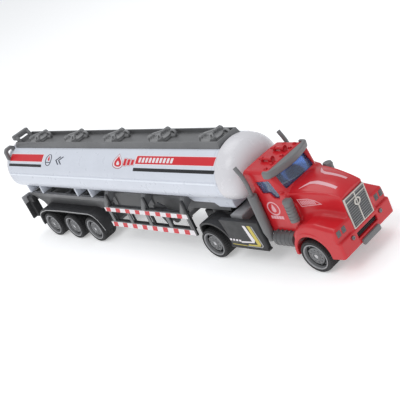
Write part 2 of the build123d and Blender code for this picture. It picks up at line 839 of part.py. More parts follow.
# Cab interior: floor, dashboard, steering wheel and two seats in one dark moulding
with BuildPart() as cab_interior:
    block((58.4, -16.0, 26.0), (80.0, 16.0, 27.4))
    block((77.0, -15.4, 27.4), (80.0, 15.4, 45.0))
    for seat_y in (-8.6, 8.6):
        block((60.6, seat_y - 4.6, 27.4), (70.0, seat_y + 4.6, 35.0))
        block((60.6, seat_y - 4.6, 35.0), (63.6, seat_y + 4.6, 48.0))
        block((60.8, seat_y - 2.6, 48.0), (63.2, seat_y + 2.6, 51.6))
    steering = Plane(origin=(kingpin_x + 74.6, 8.6, 45.6), x_dir=(0, 1, 0), z_dir=(-0.8, 0, 0.6))
    with BuildSketch(steering):
        Circle(4.2)
        Circle(3.3, mode=Mode.SUBTRACT)
        Rectangle(7.6, 1.0)
    extrude(amount=0.9)
    with BuildSketch(steering):
        Circle(0.8)
    extrude(amount=-4.6)
    for x, y in cab_screw_places:
        block((x - 2.2, y - 2.2, 23.6), (x + 2.2, y + 2.2, 26.0))
    add(cab_screws.part, mode=Mode.SUBTRACT)
finish(cab_interior, "cab_interior")

# Sun visor: a band that wraps round the front of the roof
with BuildPart() as sun_visor:
    with BuildSketch(top(64.9)):
        with BuildLine():
            Polyline((70.0, -20.6), (79.0, -20.3))
            ThreePointArc((79.0, -20.3), (83.4, 0), (79.0, 20.3))
            Polyline((79.0, 20.3), (70.0, 20.6), (70.0, -20.6))
        make_face()
    extrude(amount=5.4)
    fillet(sun_visor.edges().group_by(Axis.Z)[-1].sort_by(Axis.X)[-1:], radius=1.4)
    cab_space = cab_half_width + fit_gap
    side_slab(cab_side[:4] + [(cowl_x, 40.0)], -cab_space, cab_space, Mode.SUBTRACT)
    block((60.0, -19.4, 60.0), (76.6, 19.4, 72.0), Mode.SUBTRACT)
finish(sun_visor, "sun_visor")

# Grille: a framed panel of level louvres split by an upright bar
grille_low_z = 24.4
grille_high_z = 45.4
louvres = 17
with BuildPart() as grille:
    block((nose_x, -10.2, grille_low_z), (nose_x + 0.7, 10.2, grille_high_z))
    pair_of_blocks((nose_x + 0.7, -10.2, grille_low_z), (nose_x + 1.3, -9.4, grille_high_z))
    for z in (grille_low_z, grille_high_z - 0.8):
        block((nose_x + 0.7, -10.2, z), (nose_x + 1.3, 10.2, z + 0.8))
    louvre_pitch = (grille_high_z - grille_low_z - 1.6) / louvres
    for number in range(louvres):
        z = grille_low_z + 0.8 + louvre_pitch * (number + 0.25)
        block((nose_x + 0.7, -9.4, z), (nose_x + 1.1, 9.4, z + louvre_pitch / 2))
    block((nose_x + 0.7, -0.5, grille_low_z), (nose_x + 1.4, 0.5, grille_high_z))
    block((nose_x + 0.7, -9.4, 41.4), (nose_x + 1.3, 9.4, 42.2))
finish(grille, "grille")

# Headlamps: two square lamps on each side in the fender fronts
with BuildPart() as headlamps:
    for lamp_y in lamp_ys:
        block((119.2, lamp_y - 1.95, 27.25), (120.6, lamp_y + 1.95, 31.75))
    fillet(headlamps.edges().filter_by(Axis.X), radius=0.6)
finish(headlamps, "headlamps")

# Plate bar under the bumper slot, and the two cross-head screws in the bumper
with BuildPart() as plate_bar:
    block((bumper_front_x, -8.8, 12.0), (kingpin_to_front, 8.8, 15.8))
    fillet(plate_bar.edges().filter_by(Axis.X), radius=0.6)
finish(plate_bar, "plate_bar")
with BuildPart() as bumper_screws:
    for screw_y in (-14.7, 14.7):
        with BuildSketch(section(bumper_front_x)):
            with Locations((screw_y, 21.4)):
                Circle(1.3)
        extrude(amount=0.7)
        with BuildSketch(section(bumper_front_x + 0.7)):
            with Locations((screw_y, 21.4)):
                Rectangle(1.6, 0.4)
                Rectangle(0.4, 1.6)
        extrude(amount=-0.4, mode=Mode.SUBTRACT)
finish(bumper_screws, "bumper_screws")

# Roof horns and the row of marker lamps
with BuildPart() as roof_horns:
    for horn_y in (-6.4, 6.4):
        with BuildSketch(section(60.0)):
            with Locations((horn_y, roof_z + 1.3)):
                Circle(0.9)
        with BuildSketch(section(68.0)):
            with Locations((horn_y, roof_z + 1.3)):
                Circle(1.0)
        with BuildSketch(section(72.0)):
            with Locations((horn_y, roof_z + 1.3)):
                Circle(2.0)
        loft()
    block((60.0, -7.4, roof_z), (66.0, -5.4, roof_z + 1.3))
    block((60.0, 5.4, roof_z), (66.0, 7.4, roof_z + 1.3))
    block((50.0, -20.0, 60.0), (80.0, 20.0, roof_z), Mode.SUBTRACT)
finish(roof_horns, "roof_horns")
with BuildPart() as marker_lamps:
    for lamp_y in (-15.0, -9.6, 0.0, 9.6, 15.0):
        with BuildSketch(top(roof_z)):
            with Locations((73.6 - abs(lamp_y) / 12, lamp_y)):
                Circle(1.1)
        extrude(amount=1.0)
finish(marker_lamps, "marker_lamps")

# Air cleaners: ribbed upright canisters on each side of the cowl
cleaner_radius = 3.2
with BuildPart() as air_cleaner_right:
    with BuildSketch(top(36.0)):
        with Locations((87.0, -21.4)):
            Circle(cleaner_radius)
    extrude(amount=14.0)
    for number in range(5):
        with BuildSketch(top(38.0 + number * 2.3)):
            with Locations((87.0, -21.4)):
                Circle(cleaner_radius + 1)
                Circle(cleaner_radius - 0.3, mode=Mode.SUBTRACT)
        extrude(amount=0.9, mode=Mode.SUBTRACT)
    with BuildSketch(top(50.0)):
        with Locations((87.0, -21.4)):
            Circle(cleaner_radius + 0.3)
    extrude(amount=1.6, taper=20)
    add(cab_body.part, mode=Mode.SUBTRACT)
finish(air_cleaner_right, "air_cleaner_right")
with BuildPart() as air_cleaner_left:
    mirror(air_cleaner_right.part, about=Plane.XZ)
finish(air_cleaner_left, "air_cleaner_left")

# Exhaust stacks: a thick silencer, a lower cone and a pipe that leans back at the top
with BuildPart() as exhaust_stack_right:
    silencer_z = 26.8
    with BuildSketch(top(silencer_z)):
        with Locations((stack_x, -stack_y + 0.6)):
            Circle(3.3)
    extrude(amount=27.0)
    with BuildSketch(top(19.0)):
        with Locations((stack_x, -stack_y + 0.6)):
            Circle(1.6)
    with BuildSketch(top(silencer_z)):
        with Locations((stack_x, -stack_y + 0.6)):
            Circle(3.3)
    loft()
    with BuildLine() as pipe_path:
        FilletPolyline(
            (kingpin_x + stack_x, -stack_y + 0.6, 53.0),
            (kingpin_x + stack_x, -stack_y + 0.6, 66.0),
            (kingpin_x + stack_x - 4.6, -stack_y + 0.6, 74.8),
            radius=24.0,
        )
    with BuildSketch(Plane(pipe_path.line @ 0, z_dir=pipe_path.line % 0)):
        Circle(1.4)
    sweep()
    block((stack_x - 1.6, -20.2, 44.0), (stack_x + 1.6, -cab_half_width, 47.0))
    block((stack_x - 1.6, -20.2, 31.0), (stack_x + 1.6, -cab_half_width, 34.0))
finish(exhaust_stack_right, "exhaust_stack_right")
with BuildPart() as exhaust_stack_left:
    mirror(exhaust_stack_right.part, about=Plane.XZ)
finish(exhaust_stack_left, "exhaust_stack_left")

# Fuel tanks: strapped cylinders under the doors, notched to fit round the cab's lower corner
tank_centre = (20.5, 20.8)
with BuildPart() as fuel_tank_right:
    with BuildSketch(section(62.8)):
        with Locations((-tank_centre[0], tank_centre[1])):
            Circle(5.1)
    extrude(amount=17.8)
    fillet(fuel_tank_right.edges().filter_by(GeomType.CIRCLE), radius=1.0)
    for strap_x in (64.8, 68.8, 72.8, 76.8):
        with BuildSketch(section(strap_x)):
            with Locations((-tank_centre[0], tank_centre[1])):
                Circle(5.4)
        extrude(amount=1.6)
    block((66.0, -16.4, 18.4), (77.0, -chassis_half_width, 23.0))
    notch_y = cab_half_width + fit_gap
    block((60.0, -notch_y, cab_low_z - fit_gap), (84.0, 0.0, 30.0), Mode.SUBTRACT)
finish(fuel_tank_right, "fuel_tank_right")
with BuildPart() as fuel_tank_left:
    mirror(fuel_tank_right.part, about=Plane.XZ)
finish(fuel_tank_left, "fuel_tank_left")
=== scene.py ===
import itertools
import json
import math

import bmesh
import bpy
import numpy as np
from mathutils import Matrix, Vector


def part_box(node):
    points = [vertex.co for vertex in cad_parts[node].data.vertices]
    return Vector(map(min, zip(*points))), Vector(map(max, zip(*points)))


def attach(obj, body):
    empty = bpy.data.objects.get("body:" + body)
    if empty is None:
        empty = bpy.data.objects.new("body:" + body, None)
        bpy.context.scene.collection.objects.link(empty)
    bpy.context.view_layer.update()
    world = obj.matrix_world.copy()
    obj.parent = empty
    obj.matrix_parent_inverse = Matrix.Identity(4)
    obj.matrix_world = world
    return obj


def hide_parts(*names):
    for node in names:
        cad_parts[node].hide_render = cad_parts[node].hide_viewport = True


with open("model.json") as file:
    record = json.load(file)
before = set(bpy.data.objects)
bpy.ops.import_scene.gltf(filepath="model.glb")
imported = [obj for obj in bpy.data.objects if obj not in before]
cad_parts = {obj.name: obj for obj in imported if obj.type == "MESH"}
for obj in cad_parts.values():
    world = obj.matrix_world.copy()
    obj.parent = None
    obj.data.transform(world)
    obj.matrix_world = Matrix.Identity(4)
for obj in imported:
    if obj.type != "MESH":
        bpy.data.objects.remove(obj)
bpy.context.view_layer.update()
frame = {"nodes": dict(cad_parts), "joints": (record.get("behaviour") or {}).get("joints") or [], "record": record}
nodes = frame["nodes"]
MM = 0.001
SIDES = (("right", -1), ("left", 1))

# ---------------------------------------------------------------- materials


def link(tree, a, b):
    tree.links.new(a, b)


def noise(tree, coordinates, scale, detail=3.0, roughness=0.55):
    """A noise texture's value; scale is in features per metre."""
    node = tree.nodes.new("ShaderNodeTexNoise")
    node.inputs["Scale"].default_value = scale
    node.inputs["Detail"].default_value = detail
    node.inputs["Roughness"].default_value = roughness
    link(tree, coordinates, node.inputs["Vector"])
    return node.outputs["Fac"]


def spread(tree, value, low, high):
    """The value's middle range mapped to low..high."""
    node = tree.nodes.new("ShaderNodeMapRange")
    node.inputs["From Min"].default_value = 0.3
    node.inputs["From Max"].default_value = 0.7
    node.inputs["To Min"].default_value = low
    node.inputs["To Max"].default_value = high
    link(tree, value, node.inputs["Value"])
    return node.outputs["Result"]


def mix_colours(tree, factor, first, second):
    node = tree.nodes.new("ShaderNodeMix")
    node.data_type = "RGBA"
    link(tree, factor, node.inputs["Factor"])
    for socket, colour in ((node.inputs["A"], first), (node.inputs["B"], second)):
        if isinstance(colour, tuple):
            socket.default_value = (*colour, 1)
        else:
            link(tree, colour, socket)
    return node.outputs["Result"]


def scaled(colour, factor):
    return tuple(min(1.0, c * factor) for c in colour)


def plastic(name, colour, roughness, grain=0.06, grain_size=0.35, depth=0.02, mottle=0.10, specular=0.5):
    """Moulded plastic: cloudy pigment, a fine skin texture and uneven gloss."""
    material = bpy.data.materials.new(name)
    material.use_nodes = True
    tree = material.node_tree
    shader = tree.nodes["Principled BSDF"]
    place = tree.nodes.new("ShaderNodeTexCoord").outputs["Object"]
    cloud = noise(tree, place, 60, detail=4)
    light, dark = scaled(colour, 1 + mottle), scaled(colour, 1 - mottle)
    link(tree, mix_colours(tree, spread(tree, cloud, 0, 1), dark, light), shader.inputs["Base Color"])
    fine = noise(tree, place, 1000 / grain_size, detail=2)
    swirl = noise(tree, place, 180, detail=3)
    link(tree, spread(tree, swirl, roughness * (1 - 2 * grain), roughness * (1 + 2 * grain)),
         shader.inputs["Roughness"])
    bump = tree.nodes.new("ShaderNodeBump")
    bump.inputs["Strength"].default_value = 0.5
    bump.inputs["Distance"].default_value = depth * MM
    link(tree, fine, bump.inputs["Height"])
    link(tree, bump.outputs["Normal"], shader.inputs["Normal"])
    shader.inputs["Specular IOR Level"].default_value = specular
    return material


def shader_of(material):
    return material.node_tree.nodes["Principled BSDF"]


def make_paints():
    """Every material by its short name; the inks of the prints come last."""
    paints = {
        "red": plastic("red_gloss", (0.60, 0.018, 0.026), 0.24, grain_size=1.2, depth=0.012, mottle=0.05),
        "white": plastic("white_gloss", (0.70, 0.73, 0.80), 0.30, grain_size=1.4, depth=0.001, mottle=0.02),
        # painted reflection: a warmer, slightly brighter copy of the tank's white, tinted for the red cab
        # reflected in the front dome; both end caps use it
        "cap_white_painted_reflection": plastic("white_cap_painted_reflection", (0.74, 0.725, 0.75), 0.26, grain_size=1.4, depth=0.001,
                             mottle=0.02),
        "grey": plastic("grey_satin", (0.175, 0.175, 0.178), 0.42, depth=0.02, mottle=0.08),
        "pale_grey": plastic("pale_grey_satin", (0.25, 0.25, 0.252), 0.38, depth=0.02, mottle=0.08),
        "mid_grey": plastic("mid_grey_satin", (0.115, 0.115, 0.118), 0.40, depth=0.02, mottle=0.08),
        "black": plastic("black_matt", (0.028, 0.028, 0.030), 0.50, depth=0.03, mottle=0.12),
        "navy": plastic("navy_matt", (0.30, 0.26, 0.36), 0.5, depth=0.02, mottle=0.12),
        "lens": plastic("lens_satin", (0.16, 0.16, 0.165), 0.26, depth=0.01, mottle=0.06),
        "screw": plastic("screw_dark", (0.20, 0.20, 0.205), 0.34, depth=0.01, mottle=0.08),
        "lamp": plastic("lamp_satin", (0.36, 0.36, 0.37), 0.3, depth=0.01, mottle=0.06),
        "rim": plastic("rim_satin", (0.20, 0.20, 0.205), 0.36, depth=0.012, mottle=0.06),
        "tyre": plastic("tyre_matt", (0.022, 0.022, 0.023), 0.62, depth=0.03, mottle=0.15),
        "cream": plastic("cream_satin", (0.66, 0.62, 0.57), 0.32, depth=0.01, mottle=0.03),
        "steel": plastic("steel_plated", (0.55, 0.55, 0.56), 0.28, depth=0.01, mottle=0.05),
        "glass": plastic("blue_glazing", (0.36, 0.56, 1.0), 0.06, grain_size=2, depth=0.002, mottle=0.06),
        "red_print": plastic("red_ink", (0.66, 0.020, 0.030), 0.34, depth=0.004, mottle=0.03),
        "pale_print": plastic("pale_ink", (0.84, 0.80, 0.82), 0.36, depth=0.004, mottle=0.02),
        # painted highlight: a brighter bluish white for the strip on the waist rib, standing for the light that
        # the seam catches
        "belt_highlight_ink": plastic("belt_painted_highlight", (0.82, 0.86, 0.93), 0.30, depth=0.002, mottle=0.02),
        "pink_print": plastic("pink_ink", (0.80, 0.42, 0.46), 0.34, depth=0.004, mottle=0.05),
        "dark_pink": plastic("dark_pink_ink", (0.42, 0.16, 0.20), 0.36, depth=0.004, mottle=0.04),
        "black_print": plastic("black_ink", (0.012, 0.012, 0.014), 0.36, depth=0.004, mottle=0.05),
        "dark_print": plastic("dark_ink", (0.05, 0.055, 0.08), 0.4, depth=0.004, mottle=0.05),
        "grey_print": plastic("grey_ink", (0.42, 0.42, 0.42), 0.4, depth=0.004, mottle=0.04),
        "yellow_print": plastic("yellow_ink", (0.62, 0.50, 0.08), 0.36, depth=0.004, mottle=0.05),
        "ring": plastic("rim_ring", (0.33, 0.33, 0.34), 0.28, depth=0.006, mottle=0.04),
        # painted shade: near-black for the rim's deep recess, standing for the shadow inside it
        "recess_shade": plastic("rim_recess_painted_shade", (0.035, 0.035, 0.037), 0.5, depth=0.02, mottle=0.08),
    }
    shader_of(paints["screw"]).inputs["Metallic"].default_value = 0.6
    shader_of(paints["steel"]).inputs["Metallic"].default_value = 1.0
    shader_of(paints["glass"]).inputs["Transmission Weight"].default_value = 0.88
    shader_of(paints["glass"]).inputs["IOR"].default_value = 1.85
    return paints


paint = make_paints()

# ---------------------------------------------------------------- CAD nodes kept as they are


def dress(name, material, bevel=0.25):
    """Gives a CAD node its material and softens its edges as a mould does."""
    piece = nodes[name]
    piece.modifiers.clear()
    piece.data.materials.clear()
    piece.data.materials.append(paint[material])
    weld = piece.modifiers.new("weld", "WELD")
    weld.merge_threshold = 0.00001
    if bevel:
        soften = piece.modifiers.new("bevel", "BEVEL")
        soften.width = bevel * MM
        soften.segments = 2
        soften.limit_method = "ANGLE"
        soften.angle_limit = math.radians(35)
        soften.harden_normals = True
    for face in piece.data.polygons:
        face.use_smooth = True
    return piece


SLOT_PAINT = {
    "red_plastic": "red", "white_plastic": "white", "grey_plastic": "grey", "lamp_grey": "lamp",
    "black_plastic": "black", "blue_glazing": "glass", "navy_interior": "navy", "steel": "steel",
    "rim_grey": "rim", "tyre_black": "tyre",
}


def dress_nodes():
    for part in frame["record"]["subparts"]:
        dress(part["node"], SLOT_PAINT[part["material_slot"]], bevel=0.2)
    dress("bumper_screws", "screw", bevel=0.1)
    dress("deck_box", "lamp", bevel=0.3)


# ---------------------------------------------------------------- moulded shapes from distance fields
# A shape is a function of x, y, z in mm (x from the kingpin) that is negative inside the plastic.

KINGPIN_X = frame["joints"][0]["pos_m"][0] / MM


def rounded(first, second, radius):
    """The larger of two distances with their meeting edge rounded."""
    overlap = np.maximum(radius - np.abs(first - second), 0) / radius
    return np.maximum(first, second) + overlap * overlap * radius / 4


def joined(first, second, radius=0.01):
    """Two shapes made one, with a fillet where they meet."""
    return -rounded(-first, -second, radius)


def cut(shape, tool, radius=0.01):
    return rounded(shape, -tool, radius)


def slab(value, low, high):
    return np.abs(value - (low + high) / 2) - (high - low) / 2


def box(p, low, high, radius=0.4):
    """A block between two corners with rounded edges."""
    parts = [slab(p[i], low[i], high[i]) + radius for i in range(3)]
    outside = sum(np.maximum(part, 0) ** 2 for part in parts) ** 0.5
    inside = np.minimum(np.maximum(np.maximum(parts[0], parts[1]), parts[2]), 0)
    return outside + inside - radius


def polygon(u, v, points):
    """Signed distance to a closed outline in a plane."""
    nearest, sign = None, 1.0
    for (ax, ay), (bx, by) in zip(points, points[1:] + points[:1]):
        ex, ey = bx - ax, by - ay
        wx, wy = u - ax, v - ay
        along = np.clip((wx * ex + wy * ey) / (ex * ex + ey * ey), 0, 1)
        distance = (wx - ex * along) ** 2 + (wy - ey * along) ** 2
        nearest = distance if nearest is None else np.minimum(nearest, distance)
        crossing = (v >= ay) != (v >= by)
        left = (wx * ey - wy * ex) * (1 if ey > 0 else -1) < 0
        sign = np.where(crossing & left, -sign, sign)
    return np.sqrt(nearest) * sign


def prism(p, outline, low, high, radius=0.4):
    """An outline in x and z run across the truck from y low to high."""
    face = polygon(p[0], p[2], outline) + radius
    ends = slab(p[1], low, high) + radius
    outside = np.sqrt(np.maximum(face, 0) ** 2 + np.maximum(ends, 0) ** 2)
    return outside + np.minimum(np.maximum(face, ends), 0) - radius


def curve(value, *points):
    """A smooth line through (at, height) points."""
    at, heights = zip(*points)
    slopes = np.gradient(np.array(heights, float), np.array(at, float))
    place = np.clip(np.searchsorted(at, value) - 1, 0, len(at) - 2)
    left, right = np.take(at, place), np.take(at, place + 1)
    t = np.clip((value - left) / (right - left), 0, 1)
    low, high = np.take(heights, place), np.take(heights, place + 1)
    start, end = np.take(slopes, place) * (right - left), np.take(slopes, place + 1) * (right - left)
    return (low * (1 + 2 * t) + start * t) * (1 - t) ** 2 + (high * (3 - 2 * t) - end * (1 - t)) * t * t


def gradient(shape, points, reach=0.05):
    columns = []
    for axis in range(3):
        step = np.zeros(3)
        step[axis] = reach
        ahead, behind = points + step, points - step
        columns.append((shape(ahead.T) - shape(behind.T)) / (2 * reach))
    return np.stack(columns, 1)


def cell_points(values, cells):
    """One point in each cell that the surface crosses: the middle of its edge crossings."""
    total, count = np.zeros((len(cells), 3)), np.zeros(len(cells))
    corners = [np.array(c) for c in itertools.product((0, 1), repeat=3)]
    at = {tuple(c): values[tuple((cells + c).T)] for c in corners}
    for first in corners:
        for axis in range(3):
            if first[axis]:
                continue
            second = first.copy()
            second[axis] = 1
            a, b = at[tuple(first)], at[tuple(second)]
            crossed = (a < 0) != (b < 0)
            share = np.where(crossed, a / np.where(crossed, a - b, 1), 0)
            total += crossed[:, None] * (first + share[:, None] * (second - first))
            count += crossed
    return cells + total / count[:, None]


def cell_faces(inside, index):
    """A quad round each grid edge that the surface crosses."""
    faces = []
    for axis in range(3):
        u, v = (axis + 1) % 3, (axis + 2) % 3
        order = (axis, u, v)
        solid, cell = inside.transpose(order), index.transpose(order)
        a, b = solid[:-1, 1:-1, 1:-1], solid[1:, 1:-1, 1:-1]
        i, j, k = np.nonzero(a != b)
        ring = [cell[i, j, k], cell[i, j + 1, k], cell[i, j + 1, k + 1], cell[i, j, k + 1]]
        quads = np.stack(ring, 1)
        outward = a[i, j, k]
        quads[~outward] = quads[~outward][:, ::-1]
        faces.append(quads)
    return np.concatenate(faces)


def mould(name, shape, low, high, step, keep=1.0):
    """A closed mesh of a shape that lies between two corners in mm."""
    start = np.array(low, float) - 1.5 * step
    sizes = [int((h + 1.5 * step - s) / step) + 2 for s, h in zip(start, high)]
    axes = [start[i] + step * np.arange(sizes[i]) for i in range(3)]
    values = shape(np.ix_(*axes)) + np.zeros(sizes)
    inside = values < 0
    corner = sum(inside[tuple(slice(o, o + s - 1) for o, s in zip(offset, sizes))].astype(np.int8)
                 for offset in itertools.product((0, 1), repeat=3))
    cells = np.argwhere((corner > 0) & (corner < 8))
    index = np.full(corner.shape, -1)
    index[tuple(cells.T)] = np.arange(len(cells))
    points = start + step * cell_points(values, cells)
    for _ in range(3):
        slope = gradient(shape, points)
        distance = shape(points.T)
        move = slope * (distance / np.maximum((slope**2).sum(1), 0.2))[:, None]
        points -= np.clip(move, -step / 2, step / 2)
    faces = cell_faces(inside, index)
    return make_mesh(name, points, faces, keep)


def to_scene(name, data):
    """An object in the scene that shows a mesh, a light or a camera."""
    made = bpy.data.objects.new(name, data)
    bpy.context.scene.collection.objects.link(made)
    return made


def ship(piece, body, slot, ink, *replaced):
    """Material, body and the CAD nodes that the piece stands for; the slot is not used."""
    piece.data.materials.append(paint[ink])
    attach(piece, body)
    if replaced:
        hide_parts(*replaced)
    return piece


def outward(piece, sharp_degrees, weld=0.0):
    """Faces turned outwards and edges over an angle left sharp."""
    bm = bmesh.new()
    bm.from_mesh(piece.data)
    if weld:
        bmesh.ops.remove_doubles(bm, verts=bm.verts, dist=weld)
    bmesh.ops.recalc_face_normals(bm, faces=bm.faces)
    bm.to_mesh(piece.data)
    bm.free()
    piece.data.shade_smooth()
    piece.data.set_sharp_from_angle(angle=math.radians(sharp_degrees))


def make_mesh(name, points, faces, keep=1.0):
    """A mesh object from points in mm, thinned to a share of its faces."""
    mesh = bpy.data.meshes.new(name)
    places = (np.asarray(points, float) + (KINGPIN_X, 0, 0)) * MM
    mesh.from_pydata(places.tolist(), [], [list(map(int, f)) for f in faces])
    piece = to_scene(name, mesh)
    mesh.validate()
    mesh.shade_smooth()
    if keep < 1:
        thin = piece.modifiers.new("thin", "DECIMATE")
        thin.ratio = keep
        apply_modifiers(piece)
        piece.data.shade_smooth()
    return piece


def apply_modifiers(piece):
    graph = bpy.context.evaluated_depsgraph_get()
    made = bpy.data.meshes.new_from_object(piece.evaluated_get(graph))
    made.name = piece.name
    piece.modifiers.clear()
    piece.data = made


# ---------------------------------------------------------------- tractor cab

GLASS_FOOT = (83.4, 54.2)
GLASS_HEAD = (77.3, 66.4)
GLASS_SLOPE = math.hypot(GLASS_HEAD[0] - GLASS_FOOT[0], GLASS_HEAD[1] - GLASS_FOOT[1])
GLASS_ALONG = ((GLASS_HEAD[0] - GLASS_FOOT[0]) / GLASS_SLOPE, (GLASS_HEAD[1] - GLASS_FOOT[1]) / GLASS_SLOPE)
GLASS_OUT = (GLASS_ALONG[1], -GLASS_ALONG[0])
ROOF_Z = 69.8
CAB_REAR_X = 53.8
CAB_SIDE_Y = 19.3
ARCH_X, ARCH_Z, ARCH_RADIUS = 96.6, 13.6, 13.8
LAMP_YS = (-22.5, -17.5, 17.5, 22.5)
SCREEN_HALF, SCREEN_CORNER = 14.6, 1.2


def on_glass(p):
    """Distances up the windscreen's slope and outwards from its plane."""
    x, z = p[0] - GLASS_FOOT[0], p[2] - GLASS_FOOT[1]
    return x * GLASS_ALONG[0] + z * GLASS_ALONG[1], x * GLASS_OUT[0] + z * GLASS_OUT[1]


def roof_edge(p):
    """Distance outwards from the chamfer along each side of the roof."""
    return 0.764 * np.abs(p[1]) + 0.645 * p[2] - 58.2


def pillar_face(p):
    """Distance outwards from the chamfer on each windscreen pillar, which widens towards the bonnet."""
    _, y, z = p
    corner = 0.707 * (on_glass(p)[1] + np.abs(y) - CAB_SIDE_Y)
    return corner + 0.4 + 2.4 * np.clip((66 - z) / 11, 0, 1) - 6 * np.clip((54 - z) / 3, 0, 1)


def cabin(p):
    """The cab box: flat sides, chamfered roof edges and a raked windscreen plane."""
    x, y, z = p
    across = np.abs(y)
    crown = ROOF_Z - 0.5 * (y / CAB_SIDE_Y) ** 2
    shape = rounded(z - crown, on_glass(p)[1], 1.2)
    shape = rounded(shape, CAB_REAR_X - x, 1.8)
    sides = rounded(across - CAB_SIDE_Y - 0.012 * (45 - z), roof_edge(p), 0.7)
    sides = rounded(sides, pillar_face(p), 0.8)
    shape = rounded(shape, sides, 1.0)
    shape = np.maximum(shape, 24.6 - z)
    return np.maximum(shape, x - 88.0)


def bonnet(p):
    """The engine cover: crowned, narrowing to the grille, with an edge along each shoulder."""
    x, y, z = p
    across = np.abs(y)
    half = curve(x, (76, 17.8), (86, 17.0), (100, 14.5), (112, 12.1), (122, 10.9))
    crown = curve(x, (76, 54.6), (88, 55.1), (98, 54.9), (106, 54.0), (113, 52.3), (118, 50.0), (122, 47.2))
    shoulder = curve(x, (76, 52.2), (90, 52.0), (104, 51.2), (114, 49.3), (122, 46.4))
    roof = crown - (crown - shoulder) * np.minimum(across / half, 1.3) ** 2.2
    roof = roof + 0.45 * np.exp(-(((across - half + 0.9) / 0.75) ** 2))
    hollow = 0.9 * np.exp(-(((z - 40) / 7) ** 2)) * np.clip((x - 84) / 10, 0, 1)
    shape = rounded((z - roof) * 0.92, across - half + hollow, 0.55)
    shape = rounded(shape, x - 120.6, 0.8)
    return np.maximum(np.maximum(shape, 24.2 - z), 78.0 - x)


FENDER = [
    (81.6, 12.4), (81.9, 20.0), (83.6, 26.4), (87.2, 31.4), (92.0, 34.7), (97.5, 36.3), (104.0, 36.2),
    (111.0, 34.9), (119.6, 33.4), (120.3, 32.0), (120.3, 20.0), (110.0, 12.4),
]


def fenders(p):
    """Flared front fenders with a rolled lip round the arch and a raised crest on top."""
    x, y, z = p
    across = np.abs(y)
    tuck = across + 0.10 * np.maximum(z - 27, 0) - 0.5
    shape = prism((x, tuck, z), FENDER, 4.0, 25.6, 2.4)
    reach = np.sqrt((x - ARCH_X) ** 2 + (z - ARCH_Z) ** 2)
    lip = np.maximum(slab(reach, ARCH_RADIUS - 2, ARCH_RADIUS + 2.3), slab(across, 20.0, 26.2))
    lip = np.maximum(lip, 12.4 - z)
    shape = joined(shape, lip + 0.15, 1.2)
    crest = rounded(slab(reach, 18.0, 19.3), slab(across, 12, 24.6), 0.5)
    crest = np.maximum(crest, 24 - z)
    return joined(shape, np.maximum(crest, polygon(x, z, FENDER) - 0.4), 1.0)


def bumper(p):
    """The front bumper: a deep bar with chamfered ends that wraps to the arches."""
    x, y, z = p
    across = np.abs(y)
    shape = box(p, (108.0, -26.2, 12.2), (122.0, 26.2, 24.4), 0.9)
    corner = 0.6 * (x - 122.0) + 0.8 * (across - 25.5)
    chin = 0.5 * (x - 122.0) - 0.866 * (z - 13.6)
    return rounded(rounded(shape, corner, 0.8), chin, 0.8)


def cab_skin(p):
    shape = joined(cabin(p), bonnet(p), 1.2)
    shape = joined(shape, fenders(p), 4.0)
    shape = joined(shape, bumper(p), 0.8)
    return np.maximum(shape, np.abs(p[1]) - 26.2)


SIDE_WINDOW = [
    (62.2, 61.8), (75.0, 62.9), (79.5, 52.6), (78.3, 50.2), (73.9, 50.3), (71.3, 53.6), (64.6, 53.4),
]
CAB_CAVITY = [(55.4, 20.0), (55.4, 68.2), (74.6, 68.2), (81.9, 53.6), (85.0, 48.0), (85.0, 20.0)]


def arches(p):
    """What the front wheels need: a round hollow and the gap under it, on each side."""
    x, y, z = p
    across = np.abs(y)
    reach = np.sqrt((x - ARCH_X) ** 2 + (z - ARCH_Z) ** 2) - ARCH_RADIUS
    below = np.maximum(slab(x, ARCH_X - 12, ARCH_X + 12), z - ARCH_Z)
    return np.maximum(np.minimum(reach, below), slab(across, 10.9, 30))


def cab_shape(p):
    x, y, z = p
    across = np.abs(y)
    up, out = on_glass(p)
    shape = cut(cab_skin(p), arches(p), 0.5)
    cavity = np.maximum(prism(p, CAB_CAVITY, -17.7, 17.7, 0.8), roof_edge(p) + 1.6)
    shape = cut(shape, np.maximum(cavity, pillar_face(p) + 1.4))
    shape = cut(shape, box(p, (84.0, -9.2, 10.0), (118.8, 9.2, 44.5), 0.8))
    shape = cut(shape, prism((x, across, z), SIDE_WINDOW, 10, 22, 0.7), 0.3)
    edges = (slab(up, 0.9, GLASS_SLOPE - 0.4), slab(y, -SCREEN_HALF, SCREEN_HALF))
    opening = sum(np.maximum(edge + SCREEN_CORNER, 0) ** 2 for edge in edges) ** 0.5 - SCREEN_CORNER
    shape = cut(shape, np.maximum(slab(out, -5, 3), opening), 0.3)
    shape = cut(shape, box(p, (119.2, -10.2, 17.6), (123.0, 10.2, 21.8), 0.5), 0.3)
    shape = cut(shape, box(p, (120.55, -10.35, 24.3), (124.0, 10.35, 45.6), 0.1), 0.1)
    for lamp_y in LAMP_YS:
        shape = cut(shape, box(p, (119.3, lamp_y - 1.7, 27.4), (124.0, lamp_y + 1.7, 31.6), 0.3), 0.2)
    for screw_y in (-14.7, 14.7):
        hole = np.sqrt((y - screw_y) ** 2 + (z - 21.4) ** 2) - 1.7
        shape = cut(shape, np.maximum(hole, 121.7 - x), 0.2)
    under = np.maximum(slab(across, 0, 9.0), slab(x, 110.5, 119.0))
    return cut(shape, np.maximum(under, z - 23.0))


def make_cab():
    cab = mould("cab_shell", cab_shape, (53.4, -26.6, 11.8), (122.5, 26.6, 70.4), 0.45, keep=0.6)
    ship(cab, "tractor", "red_plastic", "red", "cab_body")


# ---------------------------------------------------------------- wheels

WHEEL_SETS = ("front", "drive", "trailer_1", "trailer_2", "trailer_3")
TYRE_FACE_INSET = 0.2
TYRE_WIDTH = 13.6
TYRE_SEGMENTS = 176


